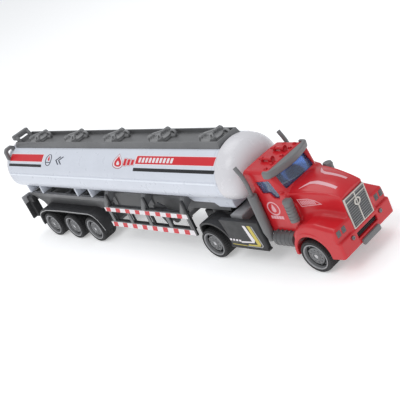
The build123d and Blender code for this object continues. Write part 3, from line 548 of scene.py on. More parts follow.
def lathe(bm, profile, segments, shift=None, material=None):
    """A closed (radius, y) outline turned about Y; shift gives each point's change of radius by segment."""
    rings = []
    for segment in range(segments):
        angle = 2 * math.pi * segment / segments
        ring = []
        for number, (radius, y) in enumerate(profile):
            reach = radius + (shift(segment, number) if shift else 0)
            ring.append(bm.verts.new((reach * math.cos(angle), y, reach * math.sin(angle))))
        rings.append(ring)
    for segment, ring in enumerate(rings):
        other = rings[(segment + 1) % segments]
        for number in range(len(profile)):
            after = (number + 1) % len(profile)
            face = bm.faces.new((ring[number], ring[after], other[after], other[number]))
            face.smooth = True
            if material:
                face.material_index = material(number)


def tyre_profile():
    """Bead, bulged sidewall, shoulder and three grooves; the outer side faces y = 0."""
    outer = [
        (9.35, -0.9), (9.45, -0.1), (9.75, 0.05), (10.0, -0.12), (10.3, 0.1), (10.9, 0.18), (11.25, 0.0),
        (11.45, -0.45), (11.85, -1.2), (11.97, -2.0),
    ]
    tread = []
    for middle in (-4.0, -6.8, -9.6):
        tread += [(12.0, middle + 0.55), (11.35, middle + 0.4), (11.35, middle - 0.4), (12.0, middle - 0.55)]
    inner = [(radius, -TYRE_WIDTH - y) for radius, y in reversed(outer)]
    return outer, tread, inner


def make_tyre():
    outer, tread, inner = tyre_profile()
    profile = outer + tread + inner
    first, last = len(outer) - 3, len(outer) + len(tread) + 2

    def notch(segment, number):
        middle = len(outer) + len(tread) / 2 - 0.5
        half_turn = 2 if abs(number - middle) < 2.5 else 0
        if first <= number <= last and profile[number][0] > 11.4:
            return -0.42 if (segment + half_turn) % 4 < 2 else 0.0
        return 0.0

    bm = bmesh.new()
    lathe(bm, profile, TYRE_SEGMENTS, notch)
    return bm


def rim_profile():
    """The rim's outline from the bead round its face, hub and back."""
    return [
        (9.35, -1.6), (9.35, 0.05), (9.15, 0.22), (8.75, 0.22), (8.55, 0.05), (8.4, -0.5), (8.1, -2.2),
        (7.7, -3.3), (6.9, -3.5), (6.4, -3.1), (6.15, -1.7), (5.95, -1.35), (5.7, -1.25), (3.4, -1.25),
        (3.2, -1.1), (3.0, -0.35), (2.8, -0.2), (2.2, -0.2), (2.05, -0.35), (1.9, -0.9), (1.55, -1.0),
        (1.55, -4.6), (9.0, -4.8), (9.0, -11.0), (9.35, -11.0),
    ]


def circle(centre, radius, count):
    """Points round a circle in a plane."""
    turns = [2 * math.pi * n / count for n in range(count)]
    return [(centre[0] + radius * math.cos(turn), centre[1] + radius * math.sin(turn)) for turn in turns]


def tube(bm, rings):
    """A closed solid through rings of vertices, with a face on its first and last ring."""
    faces = [bm.faces.new(rings[0][::-1]), bm.faces.new(rings[-1])]
    for ring, other in zip(rings, rings[1:]):
        faces += [bm.faces.new((ring[n - 1], ring[n], other[n], other[n - 1])) for n in range(len(ring))]
    return faces


def add_prism(bm, centre, radius, low, high, sides, material=0, taper=0.85):
    """A small many-sided boss along Y with a bevelled end."""
    levels = ((low, radius), (high - 0.15, radius), (high, radius * taper))
    rings = [[bm.verts.new((x, y, z)) for x, z in circle(centre, reach, sides)] for y, reach in levels]
    for face in tube(bm, rings):
        face.material_index = material


def rim_material(number):
    """The bright lip, the recess in near-black painted shade, or the rim's own grey, by place in the outline."""
    return 1 if 1 <= number <= 4 else 2 if 6 <= number <= 9 else 0


def make_rim():
    bm = bmesh.new()
    lathe(bm, rim_profile(), 96, material=rim_material)
    for n in range(10):
        angle = 2 * math.pi * (n + 0.5) / 10
        place = (4.55 * math.cos(angle), 4.55 * math.sin(angle))
        add_prism(bm, place, 0.48, -1.5, -0.65, 6)
        rib = (7.2 * math.cos(angle), 7.2 * math.sin(angle))
        add_prism(bm, rib, 0.62, -4.0, -2.3, 12)
    add_prism(bm, (0, 0), 1.5, -4.6, -0.75, 24, 3)
    return bm


def wheel_pair(name, template, gauge, centre, body, materials):
    """Two mirrored copies of one wheel part as a single piece on its axle."""
    bm = bmesh.new()
    for side_sign in (1, -1):
        part = template.copy()
        for vertex in part.verts:
            vertex.co.y = side_sign * (vertex.co.y + gauge)
        if side_sign < 0:
            bmesh.ops.reverse_faces(part, faces=part.faces)
        mesh = bpy.data.meshes.new("part")
        part.to_mesh(mesh)
        bm.from_mesh(mesh)
        bpy.data.meshes.remove(mesh)
        part.free()
    bmesh.ops.scale(bm, vec=(MM, MM, MM), verts=bm.verts)
    bmesh.ops.translate(bm, vec=centre, verts=bm.verts)
    bmesh.ops.recalc_face_normals(bm, faces=bm.faces)
    mesh = bpy.data.meshes.new(name)
    bm.to_mesh(mesh)
    bm.free()
    piece = to_scene(name, mesh)
    for key in materials:
        mesh.materials.append(paint[key])
    mesh.set_sharp_from_angle(angle=math.radians(40))
    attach(piece, body)
    return piece


def make_wheels():
    tyre, rim = make_tyre(), make_rim()
    parts = (
        ("rubber", tyre, "tyre_black", ["tyre"], "tyres"),
        ("centres", rim, "rim_grey", ["rim", "ring", "recess_shade", "pale_grey"], "rims"),
    )
    for prefix in WHEEL_SETS:
        low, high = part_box(prefix + "_rims")
        centre = (low + high) / 2
        gauge = high.y / MM - TYRE_FACE_INSET
        for name, template, slot, materials, replaced in parts:
            body = f"{prefix}_wheels"
            pair = wheel_pair(f"{prefix}_{name}", template, gauge, centre, body, materials)
            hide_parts(f"{prefix}_{replaced}")
    tyre.free()
    rim.free()


# ---------------------------------------------------------------- printed graphics
# A print is a set of flat patches in (u, v) laid on a surface by place(u, v) -> (point, normal), in mm.

PRINT_CELL = 1.6


def grid_cut(bm, cell):
    """Cuts flat patches along a square grid so that they can follow a curved surface."""
    for axis in range(2):
        values = [v.co[axis] for v in bm.verts]
        first, last = math.ceil(min(values) / cell), math.floor(max(values) / cell)
        normal = Vector((axis == 0, axis == 1, 0))
        for number in range(first, last + 1):
            geometry = bm.verts[:] + bm.edges[:] + bm.faces[:]
            cut_at = normal * number * cell
            bmesh.ops.bisect_plane(bm, geom=geometry, plane_co=cut_at, plane_no=normal, dist=1e-4)


def print_on(name, patches, place, ink, body, slot, thickness=0.06, sink=0.05, cell=PRINT_CELL):
    """One closed thin piece that follows the surface under all its patches."""
    bm = bmesh.new()
    for patch in patches:
        bm.faces.new([bm.verts.new((u, v, 0)) for u, v in patch])
    grid_cut(bm, cell)
    bmesh.ops.triangulate(bm, faces=[f for f in bm.faces if len(f.verts) > 4])
    bmesh.ops.recalc_face_normals(bm, faces=bm.faces)
    bm.verts.index_update()
    flat = np.array([v.co[:2] for v in bm.verts])
    points, normals = place(flat[:, 0], flat[:, 1])
    count = len(flat)
    faces = []
    for face in bm.faces:
        ring = [v.index for v in face.verts]
        faces += [ring, [i + count for i in reversed(ring)]]
    for edge in bm.edges:
        if len(edge.link_loops) == 1:
            loop = edge.link_loops[0]
            a, b = loop.vert.index, loop.link_loop_next.vert.index
            faces.append([b, a, a + count, b + count])
    bm.free()
    both = np.concatenate([points + normals * thickness, points - normals * sink])
    piece = make_mesh(name, both, faces)
    outward(piece, 50)
    return ship(piece, body, slot, ink)


def stroke(points, width, closed=False):
    """Quads of a drawn line of even width."""
    line = [Vector(p) for p in points]
    sides = []
    for n, here in enumerate(line):
        before = line[n - 1] if n or closed else here
        after = line[(n + 1) % len(line)] if n + 1 < len(line) or closed else here
        first = (here - before).normalized() if (here - before).length else (after - here).normalized()
        second = (after - here).normalized() if (after - here).length else first
        middle = (first + second).normalized()
        normal = Vector((-middle.y, middle.x))
        reach = width / 2 / max(0.35, normal.dot(Vector((-first.y, first.x))))
        sides.append((here + normal * reach, here - normal * reach))
    quads = [[a[0], a[1], b[1], b[0]] for a, b in zip(sides, sides[1:] + sides[:1])]
    return quads if closed else quads[:-1]


def oval(centre, half_u, half_v, lean=0.0, count=28):
    """Points round an oval; lean shifts its top along u."""
    made = []
    for n in range(count):
        angle = 2 * math.pi * n / count
        v = half_v * math.sin(angle)
        made.append((centre[0] + half_u * math.cos(angle) + lean * v, centre[1] + v))
    return made


def leaning(u_low, u_high, v_low, v_high, lean):
    """A parallelogram whose top is shifted along u by lean."""
    return [(u_low, v_low), (u_high, v_low), (u_high + lean, v_high), (u_low + lean, v_high)]


TANK_Z, TANK_HALF_WIDTH, TANK_HALF_HEIGHT = 61.5, 26.0, 22.3


def on_tank(side_sign):
    """Places (x, degrees above the waist) on the tank's side; -1 is the right side."""
    def place(u, v):
        across, up = side_sign * np.cos(np.radians(v)), np.sin(np.radians(v))
        point = np.stack([u, TANK_HALF_WIDTH * across, TANK_Z + TANK_HALF_HEIGHT * up], 1)
        normal = np.stack([u * 0, across / TANK_HALF_WIDTH, up / TANK_HALF_HEIGHT], 1)
        return point, normal / np.linalg.norm(normal, axis=1)[:, None]
    return place


def cast(shape, build, aim):
    """Places points by casting them along aim onto a moulded shape."""
    def place(u, v):
        points = build(u, v)
        for _ in range(60):
            points = points + np.array(aim, float) * shape(points.T)[:, None] * 0.8
        slope = gradient(shape, points)
        return points, slope / np.linalg.norm(slope, axis=1)[:, None]
    return place


# ---------------------------------------------------------------- tank

TANK_REAR_X, TANK_FRONT_X = -244.0, 33.0
DECK_Z = 81.2
SEAM_STEP = 0.45
BELT = 2.4
LOWER_Z, LOWER_HEIGHT, LOWER_FULLNESS = TANK_Z - BELT, 16.1, 2.25


def lower_half(turn):
    """The lower half's width and depth, each as a share, at an angle below the waist."""
    power = 2 / LOWER_FULLNESS
    return math.copysign(abs(math.cos(turn)) ** power, math.cos(turn)), abs(math.sin(turn)) ** power


def tank_ring(inset, count=90):
    """The tank's section: a half oval over a ribbed belt, a shallower and fuller half oval and a flat top."""
    width = TANK_HALF_WIDTH - inset
    rib = SEAM_STEP if inset < 1 else 0.0
    turns = [math.pi * n / count for n in range(count + 1)]
    upper = [(width * math.cos(t), max((TANK_HALF_HEIGHT - inset) * math.sin(t), 3.0)) for t in turns]
    lower = [(-width * lower_half(t)[0], -(LOWER_HEIGHT - inset) * lower_half(t)[1]) for t in turns]
    belt = [(width + rib * out, TANK_Z + rise) for rise, out in ((2.9, 0), (2.5, 1), (0.9, 1), (0.6, 0))]
    ring = [(y, min(TANK_Z + z, DECK_Z - inset)) for y, z in upper]
    ring += [(-y, z) for y, z in belt]
    ring += [(y, LOWER_Z + z) for y, z in lower]
    return ring + belt[::-1]


def bridge(rings, closed=False):
    """Quads between neighbouring rings of points that have equal counts."""
    count = len(rings[0])
    pairs = range(len(rings) if closed else len(rings) - 1)
    faces = []
    for a in pairs:
        b = (a + 1) % len(rings)
        for n in range(count):
            m = (n + 1) % count
            faces.append([a * count + n, b * count + n, b * count + m, a * count + m])
    return faces


def make_tank_shell():
    """The shell's wall, with a shallow groove near each end."""
    stations = [(TANK_REAR_X, 0.35), (TANK_REAR_X + 0.35, 0.0)]
    for x in (TANK_REAR_X + 2.2, TANK_FRONT_X - 2.6):
        stations += [(x, 0.0), (x + 0.12, 0.22), (x + 0.32, 0.22), (x + 0.44, 0.0)]
    stations += [(TANK_FRONT_X - 0.35, 0.0), (TANK_FRONT_X, 0.35), (TANK_FRONT_X, 1.6), (TANK_REAR_X, 1.6)]
    rings = [[(x, y, z) for y, z in tank_ring(inset)] for x, inset in stations]
    shell = make_mesh("tank_wall", [p for ring in rings for p in ring], bridge(rings, closed=True))
    finish_shell(shell, "tank_shell")


def cap_point(angle):
    """A point of a cap's rim, across and up from the waist: the lower half sits under the belt."""
    if math.sin(angle) > -1e-6:
        return TANK_HALF_WIDTH * math.cos(angle), TANK_HALF_HEIGHT * math.sin(angle)
    width, depth = lower_half(angle)
    return TANK_HALF_WIDTH * width, -LOWER_HEIGHT * depth - BELT


def make_cap(name, start_x, depth, fullness, replaced):
    """A dished end: rings of a squeezed superellipse, closed at the back."""
    segments, steps, rim = 144, 26, 0.99
    outline = [cap_point(2 * math.pi * n / segments) for n in range(segments)]
    rings = [[(start_x, y, z) for y, z in circle((0, TANK_Z), 0.01, segments)]]
    for step in range(steps + 1):
        turn = math.pi / 2 * step / steps
        x = start_x + depth * math.sin(turn) ** (2 / fullness)
        share = rim * max(max(math.cos(turn), 0.0) ** (2 / fullness), 0.0005)
        rings.append([(x, share * y, TANK_Z + share * z) for y, z in outline])
    last = (steps + 1) * segments
    faces = bridge(rings) + [list(range(segments)), list(range(last, last + segments))]
    cap = make_mesh(name, [p for ring in rings for p in ring], faces)
    # the caps' white carries a painted red reflection of the cab
    finish_shell(cap, replaced, "cap_white_painted_reflection")


def finish_shell(piece, replaced, ink="white"):
    outward(piece, 30, weld=1e-6)
    ship(piece, "trailer", "white_plastic", ink, replaced)


RAIL_TOP_Z = 40.0
GUSSET_XS = (-238.0, -217.0, -161.0, -140.0)


def outside_oval(p, middle_z, half_height):
    """Negative outside an oval a little narrower than the tank, roughly in mm."""
    reach = np.sqrt((p[1] / (TANK_HALF_WIDTH - 0.8)) ** 2 + ((p[2] - middle_z) / half_height) ** 2)
    return (1 - reach) * 20


def saddle_shape(p):
    """The stepped neck under the tank's front."""
    outline = [
        (-21.0, 52.0), (-19.4, 45.6), (-13.0, 41.4), (9.0, 41.4), (13.0, 38.4), (29.0, 38.4), (29.0, 52.0),
    ]
    shape = prism(p, outline, -17.0, 17.0, 0.8)
    return np.maximum(shape, outside_oval(p, LOWER_Z, LOWER_HEIGHT - 0.3))


def gusset_shape(p):
    """The fins that stand on the rails and carry the tank."""
    x, y, z = p
    fins = [box((x - fin_x, np.abs(y), z), (-0.85, 9.0, RAIL_TOP_Z), (0.85, 20.0, 52.0), 0.3)
            for fin_x in GUSSET_XS]
    return np.maximum(np.minimum.reduce(fins), outside_oval(p, LOWER_Z, LOWER_HEIGHT - 0.3))


def make_tank():
    make_tank_shell()
    make_cap("tank_front_dome", TANK_FRONT_X - 0.05, 18.9, 2.8, "tank_front_cap")
    make_cap("tank_rear_dome", TANK_REAR_X + 0.05, -7.0, 3.3, "tank_rear_cap")
    saddle = mould("tank_saddle", saddle_shape, (-22, -17.2, 38.2), (29.4, 17.2, 52.2), 0.6, keep=0.5)
    ship(saddle, "trailer", "white_plastic", "white")
    for n, gusset_x in enumerate(GUSSET_XS, start=1):
        for side_name, sign in SIDES:
            low, high = sorted((sign * 8.6, sign * 20.3))
            fin = mould(f"tank_fin_{n}_{side_name}", gusset_shape, (gusset_x - 1.2, low, 39.6),
                        (gusset_x + 1.2, high, 52.2), 0.4, keep=0.4)
            ship(fin, "trailer", "white_plastic", "white")


# ---------------------------------------------------------------- catwalk hatches


HATCH_FIRST_X, HATCH_PITCH, HATCH_SQUASH = 16.2, 57.0, 0.82


def hatch_shape(p):
    """A manhole: a drum with a domed lid, three chunky clamps, a handle and a hook loop, centred on zero."""
    x, y, z = p[0], p[1], p[2] / HATCH_SQUASH
    reach = np.sqrt(x * x + y * y)
    drum = rounded(reach - 8.3, slab(z, 0, 3.6), 0.6)
    drum = cut(drum, np.sqrt((reach - 8.5) ** 2 + (z - 2.3) ** 2) - 0.45, 0.2)
    ball = np.sqrt(x * x + y * y + (z + 8.0) ** 2) - 13.6
    shape = joined(drum, rounded(rounded(reach - 7.0, ball, 0.5), -z, 0.3), 0.3)
    shape = cut(shape, np.sqrt((reach - 4.9) ** 2 + (z - 5.0) ** 2) - 0.75, 0.2)
    for degrees in (80, 200, 320):
        c, s = math.cos(math.radians(degrees)), math.sin(math.radians(degrees))
        along, aside = x * c + y * s, y * c - x * s
        arm = box((along, aside, z), (2.0, -1.5, 4.0), (9.3, 1.5, 7.2), 0.7)
        leg = box((along, aside, z), (6.8, -2.1, 0.2), (9.6, 2.1, 6.2), 0.7)
        gap = box((along, aside, z), (5.4, -0.55, 5.4), (12.0, 0.55, 9.0), 0.2)
        shape = joined(shape, cut(joined(arm, leg, 0.4), gap, 0.2), 0.2)
    knob = rounded(reach - 2.9, slab(z, 3.0, 7.2), 0.7)
    bar = box((x * 0.82 + y * 0.57, y * 0.82 - x * 0.57, z), (-4.8, -1.0, 6.0), (4.8, 1.0, 8.4), 0.5)
    shape = joined(joined(shape, knob, 0.3), bar, 0.3)
    hoop = np.sqrt((np.sqrt((x - 10.9) ** 2 + (z - 4.0) ** 2) - 2.5) ** 2 + (y - 4.4) ** 2) - 0.95
    foot = box((x, y, z), (6.6, 3.0, 0.0), (12.4, 5.8, 2.2), 0.5)
    return np.maximum(joined(shape, joined(hoop, foot, 0.4), 0.3), -z)


def make_hatches():
    """One mesh shown five times along the catwalk."""
    first = None
    for number in range(1, 6):
        node = f"manhole_{number}"
        centre_x = HATCH_FIRST_X - HATCH_PITCH * (number - 1)
        if first is None:
            first = mould("hatch_1", hatch_shape, (-10.2, -10.2, 0), (14.8, 10.2, 7.2), 0.34, keep=0.6)
            first.data.materials.append(paint["pale_grey"])
            piece = first
        else:
            piece = to_scene(f"hatch_{number}", first.data)
        piece.location = (centre_x * MM, 0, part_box(node)[0].z)
        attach(piece, "trailer")
        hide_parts(node)


# ---------------------------------------------------------------- sun visor and grille


def visor_shape(p):
    """A thick band round the roof's front with rounded ends."""
    x, y, z = p
    across = np.abs(y)
    front = 83.2 - 4.6 * (across / 20.0) ** 2
    shape = rounded(x - front - 0.12 * (z - 67), across - 20.5, 2.2)
    shape = rounded(shape, slab(z, 64.9, 70.1), 1.3)
    shape = rounded(shape, 73.0 - x, 0.9)
    shape = rounded(shape, 0.06 - cabin(p), 0.2)
    roof = box(p, (60.0, -18.2, 60.0), (77.4, 18.2, 75.0), 1.5)
    return rounded(shape, -roof, 0.5)


def make_visor():
    visor = mould("visor_band", visor_shape, (69, -21, 64.6), (84, 21, 70.6), 0.36, keep=0.6)
    ship(visor, "tractor", "grey_plastic", "grey", "sun_visor")


GRILLE_LOW, GRILLE_HIGH, GRILLE_HALF = 24.4, 45.4, 10.2
LOUVRES = 12


def block_piece(bm, low, high, bevel=0.15, material=0):
    """A box with bevelled edges in a bmesh, in mm."""
    made = bmesh.ops.create_cube(bm, size=1.0)["verts"]
    size = [h - l for l, h in zip(low, high)]
    middle = [(h + l) / 2 for l, h in zip(low, high)]
    bmesh.ops.scale(bm, vec=size, verts=made)
    bmesh.ops.translate(bm, vec=middle, verts=made)
    edges = list({e for v in made for e in v.link_edges})
    for face in {f for v in made for f in v.link_faces}:
        face.material_index = material
    if bevel:
        bmesh.ops.bevel(bm, geom=edges, offset=bevel, segments=2, profile=0.6, affect="EDGES",
                        clamp_overlap=True)


def side_block(bm, sign, low, high, bevel):
    """A block on one side of the truck, with y measured outwards from the middle."""
    near, far = sorted((sign * low[1], sign * high[1]))
    block_piece(bm, (low[0], near, low[2]), (high[0], far, high[2]), bevel)


def plate(bm, outline, near, far):
    """An outline in x and z between two places across the truck."""
    tube(bm, [[bm.verts.new((x, y, z)) for x, z in outline] for y in (near, far)])


def from_bmesh(name, bm):
    """The bmesh, in mm from the kingpin, as a piece."""
    bmesh.ops.translate(bm, vec=(KINGPIN_X, 0, 0), verts=bm.verts)
    bmesh.ops.scale(bm, vec=(MM, MM, MM), verts=bm.verts)
    bmesh.ops.recalc_face_normals(bm, faces=bm.faces)
    mesh = bpy.data.meshes.new(name)
    bm.to_mesh(mesh)
    bm.free()
    mesh.shade_smooth()
    mesh.set_sharp_from_angle(angle=math.radians(40))
    return to_scene(name, mesh)


def make_grille():
    x = 120.6
    bm = bmesh.new()
    block_piece(bm, (x, -GRILLE_HALF, GRILLE_LOW), (x + 0.5, GRILLE_HALF, GRILLE_HIGH), 0.1)
    ship(from_bmesh("grille_back", bm), "tractor", "grey_plastic", "mid_grey")
    bm = bmesh.new()
    pitch = (GRILLE_HIGH - GRILLE_LOW - 1.8) / LOUVRES
    for n in range(LOUVRES):
        z = GRILLE_LOW + 0.9 + pitch * (n + 0.2)
        block_piece(bm, (x + 0.3, -9.4, z), (x + 0.95, 9.4, z + pitch * 0.62), 0.18)
    ship(from_bmesh("grille_louvres", bm), "tractor", "grey_plastic", "grey", "grille")
    bm = bmesh.new()
    for y in (-GRILLE_HALF, GRILLE_HALF - 0.75):
        block_piece(bm, (x + 0.2, y, GRILLE_LOW), (x + 1.25, y + 0.75, GRILLE_HIGH), 0.18)
    for z in (GRILLE_LOW, GRILLE_HIGH - 0.75, 41.6):
        block_piece(bm, (x + 0.25, -GRILLE_HALF + 0.1, z), (x + 1.2, GRILLE_HALF - 0.1, z + 0.6), 0.16)
    block_piece(bm, (x + 0.25, -0.4, GRILLE_LOW + 0.1), (x + 1.28, 0.4, GRILLE_HIGH - 0.1), 0.16)
    ship(from_bmesh("grille_frame", bm), "tractor", "white_plastic", "cream")


def badge_shape(p):
    """A plain ring on the grille."""
    x, y, z = p
    ring = np.sqrt((y / 1.15) ** 2 + ((z - 38.6) / 0.95) ** 2) - 2.1
    return np.sqrt(ring**2 + (x - 121.9) ** 2) - 0.5


def make_badge():
    badge = mould("grille_ring", badge_shape, (121.2, -3.2, 35.6), (122.6, 3.2, 41.6), 0.22, keep=0.6)
    ship(badge, "tractor", "white_plastic", "cream")


def make_front():
    """The headlamps with ribbed lenses, and the dark back of the bumper's slot."""
    bm = bmesh.new()
    for lamp_y in LAMP_YS:
        block_piece(bm, (119.35, lamp_y - 1.65, 27.45), (120.3, lamp_y + 1.65, 31.55), 0.2)
        for n in range(4):
            z = 27.85 + 0.9 * n
            block_piece(bm, (120.1, lamp_y - 1.3, z), (120.65, lamp_y + 1.3, z + 0.62), 0.18)
    ship(from_bmesh("lamp_lenses", bm), "tractor", "lamp_grey", "lens", "headlamps")
    bm = bmesh.new()
    block_piece(bm, (119.25, -10.1, 17.7), (119.9, 10.1, 21.7), 0.1)
    for n in range(3):
        block_piece(bm, (119.7, -10.0, 18.2 + 1.15 * n), (120.6, 10.0, 18.75 + 1.15 * n), 0.12)
    ship(from_bmesh("bumper_mesh", bm), "tractor", "black_plastic", "black")


def turned(bm, centre, profile, segments=28):
    """A closed (x, radius) outline turned about a line along the truck."""
    tube(bm, [[bm.verts.new((x, y, z)) for y, z in circle(centre, radius, segments)]
              for x, radius in profile])


def make_roof_pieces():
    """Two trumpet horns on brackets and five marker lamps."""
    horn = [
        (59.8, 0.5), (60.0, 0.85), (61.4, 0.95), (66.5, 1.0), (68.6, 1.1), (70.2, 1.35), (71.4, 1.75),
        (72.0, 2.0), (72.3, 2.0), (72.3, 1.75), (71.9, 1.2), (71.7, 0.4),
    ]
    collar = [(62.6, 1.0), (62.7, 1.4), (64.0, 1.4), (64.1, 1.0)]
    bm = bmesh.new()
    for horn_y in (-6.4, 6.4):
        turned(bm, (horn_y, ROOF_Z + 1.75), horn)
        for x in (61.6, 68.0):
            block_piece(bm, (x, horn_y - 0.7, ROOF_Z - 0.4), (x + 1.4, horn_y + 0.7, ROOF_Z + 1.6), 0.2)
        turned(bm, (horn_y, ROOF_Z + 1.75), collar)
    ship(from_bmesh("horn_pair", bm), "tractor", "red_plastic", "red", "roof_horns")
    bm = bmesh.new()
    for lamp_y in (-15.0, -9.6, 0.0, 9.6, 15.0):
        x = 73.9 - abs(lamp_y) / 12
        base = ROOF_Z - 0.5 * (lamp_y / CAB_SIDE_Y) ** 2
        block_piece(bm, (x - 1.5, lamp_y - 0.95, base - 0.5), (x + 1.3, lamp_y + 0.95, base + 0.45), 0.2)
        block_piece(bm, (x - 1.1, lamp_y - 0.7, base + 0.2), (x + 1.1, lamp_y + 0.7, base + 1.15), 0.4)
    ship(from_bmesh("roof_markers", bm), "tractor", "red_plastic", "red", "marker_lamps")


def rail_shape(p):
    """The tail's handrail: a fat bar on two legs, all leaning back over the tray."""
    x, y, z = p
    across = np.abs(y)
    bar = box((x, y, z), (-241.9, -8.8, 86.8), (-237.6, 7.8, 91.3), 1.2)
    outline = [(-233.8, 82.3), (-237.0, 82.3), (-238.4, 85.8), (-241.0, 88.4), (-238.6, 91.0), (-235.4, 87.6)]
    return joined(bar, prism((x, across, z), outline, 4.6, 7.4, 0.7), 0.8)


HOOP = [(-12.6, 80.6), (-12.8, 82.8), (-14.6, 84.2), (-19.0, 84.0), (-20.6, 82.2), (-21.0, 76.4)]


def hoop_shape(p):
    """The grab hoop on the right shoulder: a thick bent bar."""
    x, y, z = p
    nearest = None
    for (ay, az), (by, bz) in zip(HOOP, HOOP[1:]):
        ey, ez = by - ay, bz - az
        along = np.clip(((y - ay) * ey + (z - az) * ez) / (ey * ey + ez * ez), 0, 1)
        distance = np.sqrt((y - ay - ey * along) ** 2 + (z - az - ez * along) ** 2)
        nearest = distance if nearest is None else np.minimum(nearest, distance)
    bar = rounded(nearest - 1.5, slab(x, -242.9, -239.3), 0.9)
    return np.maximum(bar, outside_oval(p, TANK_Z, TANK_HALF_HEIGHT - 0.8))


def make_tail():
    """Rails, the black boxes behind the lamp plates, the lamps, and the rear ends of the inner panels."""
    rail = mould("tail_rail", rail_shape, (-242.2, -9, 82), (-232.4, 9, 91.8), 0.36, keep=0.5)
    ship(rail, "trailer", "grey_plastic", "grey", "rear_rails")
    hoop = mould("tail_hoop", hoop_shape, (-243.2, -22.8, 74), (-239.6, -11, 86.2), 0.3, keep=0.5)
    ship(hoop, "trailer", "grey_plastic", "grey")
    dress("rear_light_bar", "lamp", bevel=0.4)
    bm = bmesh.new()
    for sign in (-1, 1):
        side_block(bm, sign, (-246.2, 15.4, 31.4), (-236.8, 22.6, 36.6), 0.5)
        side_block(bm, sign, (-245.9, 15.6, 15.6), (-241.6, 22.4, 32.0), 0.4)
    ship(from_bmesh("tail_boxes", bm), "trailer", "black_plastic", "black")
    bm = bmesh.new()
    for sign in (-1, 1):
        for y in (18.6, 21.4, 24.2):
            side_block(bm, sign, (-248.6, y - 1.1, 32.6), (-247.7, y + 1.1, 37.2), 0.3)
    ship(from_bmesh("tail_lamps", bm), "trailer", "red_plastic", "red")
    for name, sign in SIDES:
        low, high = sorted((sign * 12.8, sign * 20.4))
        panel = mould(f"inner_panel_{name}", lambda p, s=sign: inner_panel_shape((p[0], p[1] * s, p[2])),
                      (-237.4, low, 15.6), (-125.0, high, 38.4), 0.5, keep=0.3)
        ship(panel, "trailer", "grey_plastic", "grey")


def inner_panel_shape(p):
    """The panel inside the fenders: it leans in from the rail and drops lower behind the last wheel."""
    x, y, z = p
    lean = curve(z, (14, 13.9), (24, 14.0), (28, 14.6), (34, 17.4), (39, 19.3))
    low = 16.0 + 9.8 * np.clip((x + 228.4) / 0.8, 0, 1)
    shape = rounded(slab(y - lean, -0.8, 0.8), slab(z, low, 38.0), 0.3)
    rear = -236.6 + 0.42 * np.maximum(33.0 - z, 0)
    return rounded(shape, np.maximum(rear - x, x + 125.6), 0.3)


def make_guard_shadow_strips():
    """Black strips of painted shadow behind the side guards' struts and posts and along their boards, the bar
    round their front ends and the black brackets.
    """
    bracket = [(-50.5, 41.5), (-44.0, 38.6), (-38.2, 31.6), (-46.8, 19.8), (-54.6, 31.6), (-57.0, 38.6)]
    bm = bmesh.new()
    for sign in (-1, 1):
        # painted shadow: a black strip just behind each strut
        for strut_x in (-113.5, -65.0, -19.0):
            side_block(bm, sign, (strut_x + 1.8, 23.0, 22.8), (strut_x + 4.0, 24.6, 32.8), 0.3)
            if strut_x < -20:
                side_block(bm, sign, (strut_x + 1.8, 23.0, 36.2), (strut_x + 4.0, 24.6, 47.0), 0.3)
        # painted shadow: a black strip just behind each post
        for post_x in (-88.0, -42.0):
            side_block(bm, sign, (post_x, 23.0, 22.8), (post_x + 1.8, 24.2, 32.8), 0.3)
        side_block(bm, sign, (-16.4, 24.2, 17.8), (-13.8, 26.4, 47.6), 0.9)
        # painted shadow: black strips along the upper and lower boards' edges
        for low_z, high_z in ((36.3, 37.2), (22.4, 23.4)):
            side_block(bm, sign, (-117.0, 22.6, low_z), (-15.0, 24.4, high_z), 0.2)
        plate(bm, bracket, sign * 20.8, sign * 22.2)
    ship(from_bmesh("guard_shadow_strips_and_brackets", bm), "trailer", "black_plastic", "black")


def make_fender_flaps():
    """Flaps that carry the drive fenders down behind the wheels."""
    outline = [(-6.0, 28.4), (-4.7, 29.2), (-5.9, 24.0), (-6.2, 19.4), (-7.2, 19.4), (-7.2, 25.2)]
    bm = bmesh.new()
    for sign in (-1, 1):
        plate(bm, outline, sign * 12.9, sign * 26.1)
    ship(from_bmesh("fender_flaps", bm), "tractor", "black_plastic", "black")


def make_fuel_tanks():
    """Cylinders with domed ends and four straps each."""
    profile = [
        (62.9, 0.4), (62.9, 3.9), (63.2, 4.8), (63.9, 5.15), (79.5, 5.15), (80.2, 4.8), (80.5, 3.9),
        (80.5, 0.4),
    ]
    for name, sign in SIDES:
        bm = bmesh.new()
        centre = (sign * 20.5, 20.8)
        turned(bm, centre, profile, 48)
        for x in (64.8, 68.6, 72.4, 76.2):
            turned(bm, centre, [(x, 5.0), (x + 0.15, 5.34), (x + 1.3, 5.34), (x + 1.45, 5.0)], 48)
            block_piece(bm, (x + 0.3, centre[0] - 0.9, 25.4), (x + 1.4, centre[0] + 0.9, 26.7), 0.2)
        side_block(bm, sign, (66.0, 9.0, 18.4), (77.0, 16.4, 23.0), 0.3)
        tank = from_bmesh(f"diesel_tank_{name}", bm)
        ship(tank, "tractor", "grey_plastic", "mid_grey", f"fuel_tank_{name}")


# ---------------------------------------------------------------- the graphics themselves


